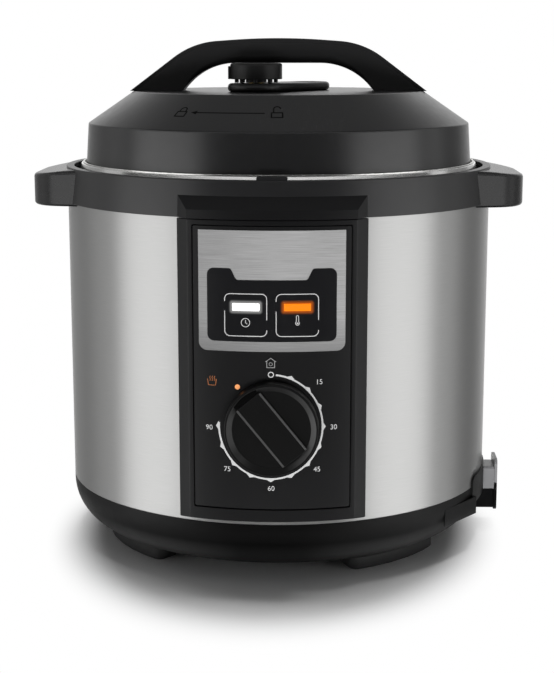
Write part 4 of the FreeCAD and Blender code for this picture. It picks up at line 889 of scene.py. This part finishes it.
def padlock(centre, lifted):
    """A lock body with a shackle, shut or swung open."""
    left = centre - 3.4
    right = centre + 3.4
    sides = [[(left, -4.2), (right, -4.2)], [(left, 0.6), (right, 0.6)],
             [(left, -4.5), (left, 0.9)], [(right, 0.9), (right, -4.5)]]
    shackle = [(centre - 2.2, 0.8)] + arc(centre, 2.6 + lifted, 2.2, 270, 450, 10)
    if not lifted:
        shackle.append((centre + 2.2, 0.8))
    return [stroke(line, guide_line) for line in sides + [shackle]]


guide = padlock(-60.4, 0.0) + padlock(2.3, 2.0)
guide.append(stroke([(-50.6, 0.0), (-5.3, 0.0)], guide_line))
guide.append([(-53.6, 0.0), (-49.6, -1.8), (-49.6, 1.8)])
guide_marks = joined([on_cone(slab([mark], guide_depth)) for mark in guide])
piece("lid_guide", guide_marks, "lid", ink_and_shade_black)

# %% [markdown]
# ## Handle
# The handle is two mouldings that meet on a line below its top. Each is a side outline drawn out across
# its width, but the rounding isn't the same all round: generous under the fingers, small at the seam. So
# this tool takes a rounding for every point of the outline and steps the outline inward as it nears the
# side.

# %% Handle
def cushion(outline, rounding, half_depth, steps=6):
    """Draw out a closed (x, z) outline along Y, with its own edge rounding at every point."""
    count = len(outline)
    area = sum(outline[i - 1][0] * outline[i][1] - outline[i][0] * outline[i - 1][1] for i in range(count))
    inward = []
    for i in range(count):
        before = (Vector(outline[i]) - Vector(outline[i - 1])).normalized()
        after = (Vector(outline[(i + 1) % count]) - Vector(outline[i])).normalized()
        side = Vector((-(before + after).y, (before + after).x)).normalized()
        stretch = max(side.dot(Vector((-after.y, after.x))), 0.5)
        inward.append(side * math.copysign(1, area) / stretch)
    bm = bmesh.new()
    loops = []
    for k in range(-steps, steps + 1):
        lean = math.radians(90 * abs(k) / steps)
        loop = []
        for (x, z), edge, way in zip(outline, rounding, inward):
            inset = way * edge * (1 - math.cos(lean))
            depth = half_depth - edge + edge * math.sin(lean)
            loop.append(bm.verts.new((x + inset.x, math.copysign(depth, k) if k else 0.0, z + inset.y)))
        loops.append(loop)
    skin(bm, loops)
    bm.faces.new(loops[0])
    bm.faces.new(loops[-1][::-1])
    return bm


handle_end = 101.0
handle_rise = 32.3
shoulder_x = 58.0
handle_half = 12.0
seam_drop = 2.9
finger_top = 325.3


def handle_line(drop):
    """The handle's upper line from left to right, lowered by drop, where it is above the lid."""
    foot = lid_top - drop
    shoulder = foot + handle_rise
    corners = [(-handle_end, 0, 0), (-handle_end, foot, 0), (-shoulder_x, shoulder, 55.0),
               (0.0, shoulder + 4.2, 440.0),
               (shoulder_x, shoulder, 55.0), (handle_end, foot, 0), (handle_end, 0, 0)]
    line = [p for p in rounded(corners, 14) if p[1] > lid_top + 0.01]
    slope = (shoulder - foot) / (handle_end - shoulder_x)
    end = handle_end - drop / slope
    return [(-end, lid_top)] + line + [(end, lid_top)]


crown = handle_line(0.0)
seam = handle_line(seam_drop)
upper_rounding = [min(1.2, 0.06 * (handle_end - abs(x))) + 0.05 for x, z in crown] + [0.2] * len(seam)
upper = cushion(crown + seam[::-1], upper_rounding, handle_half)
piece("handle_cover", upper, "lid", leather_black, ["handle_upper"], 40)

finger_line = rounded([(65.3, lid_top, 0), (49.2, finger_top, 45.0),
                       (-49.2, finger_top, 45.0), (-65.3, lid_top, 0)], 12)
lower_rounding = [0.02] * len(seam) + [min(5.0, 0.25 * (z - lid_top)) + 0.2 for x, z in finger_line]
lower = cushion(seam + finger_line, lower_rounding, handle_half)
piece("handle_grip", lower, "lid", handle_black, ["handle_lower"], 40)

# %% [markdown]
# ## Valve
# The steam valve is a turned cap on a ring of little posts, with a pointer at its side. The plate under
# it joins two circles, one round the valve and one round the float pin.

# %% Valve plate
valve_x = -14.0
valve_y = -31.0
float_x = 20.0
float_y = 20.0
plate_top = 312.4


def two_circles(one, other, steps=24):
    """The outline of a belt round two circles (x, y, radius)."""
    run = math.hypot(other[0] - one[0], other[1] - one[1])
    heading = math.atan2(other[1] - one[1], other[0] - one[0])
    lean = math.acos((one[2] - other[2]) / run)
    outline = []
    for (x, y, r), start, end in ((one, heading + lean, heading + 2 * math.pi - lean),
                                  (other, heading - lean, heading + lean)):
        for k in range(steps + 1):
            a = start + (end - start) * k / steps
            outline.append((x + r * math.cos(a), y + r * math.sin(a)))
    return outline


belt_line = two_circles((valve_x, valve_y, 19.0), (float_x, float_y, 15.0))
belt = slab([belt_line, circle(float_x, float_y, 9.4, 48)], plate_top - lid_top, 2.6, 6)
dish_floor = slab([circle(float_x, float_y, 12.0, 48), circle(float_x, float_y, 4.3, 24)], 3.0)
valve_plate = joined([moved(belt, 0, 0, lid_top), moved(dish_floor, 0, 0, lid_top + 1.0)])
piece("valve_base", valve_plate, "lid", satin_black, ["valve_plate"])

# %% Valve cap
cap_low = 315.0
cap_top = 325.5
cap_radius = 17.3
post_low = plate_top + 0.3
post_high = cap_low + 0.5
cap_outline = rounded([(0, cap_low, 0), (cap_radius, cap_low, 0.4),
                       (cap_radius, cap_top, 1.5), (0, cap_top, 0)])
cap = lathe(cap_outline, 72, valve_x, valve_y)
hub = lathe([(5.1, post_low), (7.0, post_low), (7.0, post_high), (5.1, post_high)], 48, valve_x, valve_y)
posts = [rod(1.4, post_low, post_high, 16, x, y) for x, y in circle(valve_x, valve_y, 13.0, 8)]
pointer = slab([box_outline(2.0, valve_y - 2.5, valve_y + 2.5, 0.6, 0.6, valve_x - 16.7)], 8.5, 0.4)
valve_cap = joined([cap, hub] + posts + [moved(pointer, 0, 0, cap_low)])
piece("valve_cap", valve_cap, "valve", valve_black, ["valve_knob"])

# %% [markdown]
# ## Side grips
# A grip is a wing seen from above with a big round at its outer end. The slab tool draws that plan, and
# every point's height is then stretched between two sloping lines, so the grip falls outward. A Boolean
# takes out the hollow for the finger tips; the left grip is the right one mirrored.

# %% Grips
collar_radius = 147.8
grip_end = 166.6
grip_root = 126.0
grip_thickness = 23.1
hollow_end = grip_end - 3
hollow_root = 141.6


def hollowed(bm, cutter):
    """The first bmesh less the second, by a Boolean modifier."""
    for source in (bm, cutter):
        bmesh.ops.recalc_face_normals(source, faces=source.faces)
    solid = mesh_object("solid", bm)
    tool = mesh_object("hollow", cutter)
    cut = solid.modifiers.new("hollow", "BOOLEAN")
    cut.operation = "DIFFERENCE"
    cut.solver = "EXACT"
    cut.object = tool
    result = evaluated(solid)
    bpy.data.objects.remove(tool)
    return result


def grip_height(x, w):
    """Height of a point of the grip, w from 0 under it to its thickness on top of it."""
    low = 231.7 - 0.05 * (x - collar_radius)
    high = min(254.6 - 0.144 * (x - collar_radius), 256.6)
    return low + (high - low) * w / grip_thickness


def grip_mesh(side):
    plan = rounded([(grip_root, -66.8, 0), (grip_end, -40.0, 44.0),
                    (grip_end, 40.0, 44.0), (grip_root, 66.8, 0)], 14)
    plan = plan + arc(0, 0, 142.6, 90 - 26.6, 90 + 26.6, 20)
    grip = slab([plan], grip_thickness, 2.4, 4)
    for vert in grip.verts:
        vert.co.z = grip_height(vert.co.x, vert.co.z)
    under = rounded([(hollow_root, -52.1, 0), (hollow_end, -38.2, 40.0),
                     (hollow_end, 38.2, 40.0), (hollow_root, 52.1, 0)], 10)
    under = under + arc(0, 0, collar_radius + 3, 90 - 20.0, 90 + 20.0, 16)
    made = [hollowed(grip, moved(slab([under], 24.0), 0, 0, 225.0))]
    for y in (-16.0, 16.0):
        lay_out = Matrix.Translation((147.3, y, 239.0)) @ Matrix.Rotation(math.radians(90), 4, "Y")
        made.append(placed(rod(5.0, 0, 10.9, 32), lay_out))
    whole = joined(made)
    bmesh.ops.scale(whole, verts=whole.verts, vec=(side, 1, 1))
    return whole


piece("grip_right", grip_mesh(1), "housing", grip_black, ["right_grip"])
piece("grip_left", grip_mesh(-1), "housing", grip_black, ["left_grip"])

# %% [markdown]
# ## Collar
# The collar is turned, with a crisp rim and a deep channel inside it that catches no light, so a film of
# dead black, painted shade, lines the channel. The hood over the panel is drawn station by station round
# the wall, shorter towards its front, which makes the mitred ends. Only the drain at the back is taken
# over from the CAD form.

# %% Collar and hood
collar_low = 234.3
collar_top = 257.3
rim_in = 140.5
moat_floor = 246.0
turned = lathe(rounded([
    (collar_radius - 0.3, collar_low, 0.3), (145.5, collar_top, 0.6), (rim_in, collar_top, 0.3),
    (rim_in, moat_floor, 1.0), (119.2, moat_floor, 0), (119.2, 243.0, 0), (141.7, 243.0, 0),
    (141.7, 226.0, 0), (144.2, 226.0, 0), (144.2, collar_low, 0),
]), 240)
front_tab = wrap_front(slab([box_outline(9.4, collar_top - 1.0, 259.5, 0, 0.9)], 3.4, 0.2), 141.4)
hood_root = 147.5
hood_section = [(143.0, collar_low), (hood_root, collar_low), (152.5, collar_low),
                (152.5, 239.8), (146.1, 248.0), (143.0, 248.0)]
hood = bmesh.new()
stations = []
for k in range(41):
    share = k / 20 - 1
    station = []
    for radius, height in hood_section:
        x = share * (58.0 - 1.2 * max(radius - hood_root, 0.0))
        station.append(hood.verts.new((x, -math.sqrt(radius ** 2 - x ** 2), height)))
    stations.append(station)
skin(hood, stations)
for end in (stations[0], stations[-1]):
    hood.faces.new([end[1], end[2], end[3], end[4]])
    hood.faces.new([end[0], end[1], end[4], end[5]])
piece("collar_ring", joined([turned, front_tab]), "housing", satin_black, ["collar"])
piece("panel_hood", hood, "housing", panel_black, (), 20)

# %% Drain and painted shade in the channel
drain_from = 148.5
drain = bmesh.new()
drain.from_mesh(frame["nodes"]["collar"].data)
bmesh.ops.scale(drain, verts=drain.verts, vec=(1 / MM, 1 / MM, 1 / MM))
bmesh.ops.remove_doubles(drain, verts=drain.verts, dist=1e-3)
inside = [f for f in drain.faces if max(v.co.y for v in f.verts) < drain_from]
bmesh.ops.delete(drain, geom=inside, context="FACES")
for vert in drain.verts:
    if vert.co.y < drain_from - 0.5 and vert.co.z > 236:
        vert.co.y -= 3.0
piece("collar_drain", drain, "housing", satin_black)
# Painted shade: a dead black film over the channel's floor and outer wall.
channel_shade_film = lathe([(135.8, 246.1), (140.42, 246.1), (140.42, 256.6), (140.3, 256.6), (140.3, 246.25),
                (135.8, 246.25)], 200)
piece("channel_shade", channel_shade_film, "housing", ink_and_shade_black)

# %% [markdown]
# The steel ring that the lid locks into shows as a bright line under the skirt. Its edge leans back by
# about twelve degrees, so that it mirrors what stands high over the collar's rim and not the rim itself.

# %% Bright edge of the locking ring
ring_low = 252.0
ring_top = 258.8
ring_edge = lathe(rounded([(133.2, ring_low, 0), (136.8, ring_low, 0),
                           (135.3, ring_top, 0.4), (133.2, ring_top, 0.4)]), 240)
piece("ring_edge", ring_edge, "housing", rim_steel)

# %% [markdown]
# ## Feet
# Four rubber feet follow the base's edge as short arcs. Each is a slab with a rounded outline. Few points
# on the arcs keep the outline's sides longer than its roundings, so the bevel has room to turn the
# corners.

# %% Feet
foot_out = 121.5
foot_in = 103.0
foot_corner = 5.0
feet = []
for start, end in ((18, 54), (126, 162), (195, 231), (295, 333)):
    turns = [math.radians(start + (end - start) * k / 5) for k in range(6)]
    corners = [foot_corner, 0, 0, 0, 0, foot_corner]
    pad = [(foot_out * math.cos(t), foot_out * math.sin(t), r) for t, r in zip(turns, corners)]
    pad += [(foot_in * math.cos(t), foot_in * math.sin(t), r) for t, r in zip(reversed(turns), corners)]
    feet.append(slab([rounded(pad)], 8.5, 1.2, 3))
piece("feet_pads", joined(feet), "housing", rubber_black, ["feet"])

# %% [markdown]
# ## Everything else
# The remaining nodes keep their CAD form. A copy is merged, so that neighbouring facets share their
# corners, and shaded smooth except where faces meet at more than about thirty degrees. Each takes the
# finish of its slot, apart from three outer mouldings of a darker black.

# %% Copies of the other nodes
shown = {name for made in bpy.data.objects for name in made.get("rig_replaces", [])}
special = {"base": base_black, "inlet_body": inlet_black, "drip_cup": inlet_black}
for node_name in sorted(set(frame["nodes"]) - shown):
    cad_form(node_name, special.get(node_name, finish_of[slot_of[node_name]]))

# %% [markdown]
# ## Studio
# Polished things show the room, so the room is made to suit. The cooker stands on an oval white table
# that melts into a white background. Dark and grey cards stand all round, out of the camera's sight, and
# leave a gap behind: they keep the steel's edges and the plastic's front dark. Two large soft boxes in
# front of them draw the bright bands. A high white card, which only polished things show, lights the
# locking ring's edge.

# %% Table
table_radius = 0.265
table_narrow = 1.5
melt_start = 0.185
melt_end = 0.25
melt_shift = (0.0013, 0.0, 0.0)
melt_stretch = (1.538, 1.0, 1.0)


def stage_object(name, bm, material, in_sight):
    """A thing of the studio, which isn't part of the cooker."""
    made = mesh_object(name, bm)
    made.data.materials.append(material)
    made.visible_camera = in_sight
    made.visible_shadow = in_sight
    return made


table_white = finish("table_white", (0.93, 0.93, 0.93), 0.9, Specular_IOR_Level=0.2)
table_place = node(table_white, "ShaderNodeTexCoord")
centred = vector_node(table_white, "ADD", (table_place, "Object"), melt_shift)
widened = vector_node(table_white, "MULTIPLY", (centred, "Vector"), melt_stretch)
from_middle = vector_node(table_white, "LENGTH", (widened, "Vector"))
melt = ramp(table_white, (from_middle, "Value"), melt_start, melt_end, 0.0, 1.0)
melt.interpolation_type = "SMOOTHSTEP"
table_ray = node(table_white, "ShaderNodeLightPath")
to_camera = math_node(table_white, "MULTIPLY", (melt, "Result"), (table_ray, "Is Camera Ray"))
glare = node(table_white, "ShaderNodeEmission", Color=(1, 1, 1, 1), Strength=1.0)
mixed = node(table_white, "ShaderNodeMixShader", i0=(to_camera, 0),
             i1=(table_white.node_tree.nodes["Principled BSDF"], 0), i2=(glare, 0))
table_white.node_tree.links.new(mixed.outputs[0], table_white.node_tree.nodes["Material Output"].inputs[0])
table = bmesh.new()
bmesh.ops.create_circle(table, cap_ends=True, segments=128, radius=table_radius)
bmesh.ops.scale(table, verts=table.verts, vec=(1 / table_narrow, 1, 1))
stage_object("table", table, table_white, True)

# %% World
world = bpy.data.worlds.new("studio")
bpy.context.scene.world = world
world.use_nodes = True
world.node_tree.nodes.clear()
seen = node(world, "ShaderNodeBackground", Color=(1, 1, 1, 1), Strength=1.0)
room = node(world, "ShaderNodeBackground", Color=(1, 1, 1, 1), Strength=0.25)
ray = node(world, "ShaderNodeLightPath")
shiny = math_node(world, "MAXIMUM", (ray, "Is Glossy Ray"), (ray, "Is Transmission Ray"))
direct = math_node(world, "MAXIMUM", (ray, "Is Camera Ray"), (shiny, 0))
choose = node(world, "ShaderNodeMixShader", i0=(direct, 0), i1=(room, 0), i2=(seen, 0))
node(world, "ShaderNodeOutputWorld", i0=(choose, 0))

# %% Cards
card_radius = 2.0
card_low = -1.4
card_high = 2.3
card_spread = 1.5 * card_radius
back_gap = 27


def glowing(name, grey, strength):
    """A dull card that gives off an even white light."""
    return finish(name, (grey, grey, grey), 0.9, Emission_Color=(1, 1, 1, 1), Emission_Strength=strength)


def level_square(bm, height):
    corners = ((1, 1), (1, -1), (-1, -1), (-1, 1))
    bm.faces.new([bm.verts.new((card_spread * s, card_spread * t, height)) for s, t in corners])
    return bm


def bent_card(name, start, end, material, low=card_low, high=card_high, away=card_radius, floor=False):
    """An upright card bent round the table, from start to end in degrees from the back."""
    bm = bmesh.new()
    bend = arc(0, 0, away, start, end)
    skin(bm, [[bm.verts.new((x, y, z)) for x, y in bend] for z in (low, high)], False)
    if floor:
        level_square(bm, low)
    return stage_object(name, bm, material, False)


card_black = finish("card_black", (0.015, 0.015, 0.015), 0.9)
card_grey = glowing("card_grey", 0.3, 0.25)
card_ceiling = glowing("card_ceiling", 0.03, 0.17)
stage_object("ceiling_card", level_square(bmesh.new(), card_high), card_ceiling, False)
bent_card("dark_card", 85, 275, card_black, floor=True)
bent_card("left_grey_card", -85, -66, card_grey)
bent_card("left_haze_card", -66, -46, glowing("card_haze", 0.2, 0.1))
bent_card("right_grey_card", 70, 85, glowing("card_pale", 0.3, 0.42))
bent_card("right_dusk_card", 42, 70, glowing("card_dusk", 0.15, 0.06))
bent_card("left_rear_card", -46, -back_gap, glowing("card_dim", 0.25, 0.17))
bent_card("right_rear_card", back_gap, 42, card_grey)
high_card = bent_card("high_card", 80, 280, glowing("card_white", 0.3, 1.0),
                      low=0.85, high=1.24, away=1.94)
high_card.visible_diffuse = False

# %% Lamps
def soft_box(name, place, target, width, height, watts, in_gloss=True):
    light = bpy.data.lights.new(name, "AREA")
    light.shape = "RECTANGLE"
    light.size = width
    light.size_y = height
    light.energy = watts
    lamp = linked(name, light)
    lamp.location = place
    lamp.rotation_euler = (Vector(target) - Vector(place)).to_track_quat("-Z", "Y").to_euler()
    lamp.visible_camera = False
    lamp.visible_glossy = in_gloss


box_away = 1.5
box_level = -0.24
box_width = 1.25
box_height = 1.34
box_watts = 1.7 * math.pi * box_width * box_height
for name, turn in (("left box", -65), ("right box", 65)):
    a = math.radians(turn)
    spot = (box_away * math.sin(a), -box_away * math.cos(a), box_level)
    soft_box(name, spot, (0, 0, box_level), box_width, box_height, box_watts)
soft_box("top box", (0.08, 0.34, 2.0), (0, 0, 0), 0.9, 0.9, 54, False)
soft_box("front fill", (0, -1.6, -0.14), (0, 0, 0.1), 0.9, 0.24, 46, False)
print("lamps in the studio:", len(bpy.data.lights))

# %% [markdown]
# ## Camera
# The camera stands a metre away and a little above the lid, looking down by about eleven degrees. Its
# height and focal length come from how the ellipses of the rims open out from top to bottom.

# %% Camera
camera_away = 1.0538
camera_height = 0.3361
camera_shift = -0.00106
camera_dip = 10.833
camera_turn = math.radians(1.65)
camera_data = bpy.data.cameras.new("camera")
camera_data.lens = 80.97
camera_data.sensor_width = 36.0
camera = linked("camera", camera_data)
camera.location = (camera_away * math.sin(camera_turn) + camera_shift * math.cos(camera_turn),
                   -camera_away * math.cos(camera_turn) + camera_shift * math.sin(camera_turn),
                   camera_height)
camera.rotation_euler = (math.radians(90 - camera_dip), 0, camera_turn)
bpy.context.scene.camera = camera
bpy.context.scene.view_settings.view_transform = "Standard"

# %% Update the scene
bpy.context.view_layer.update()
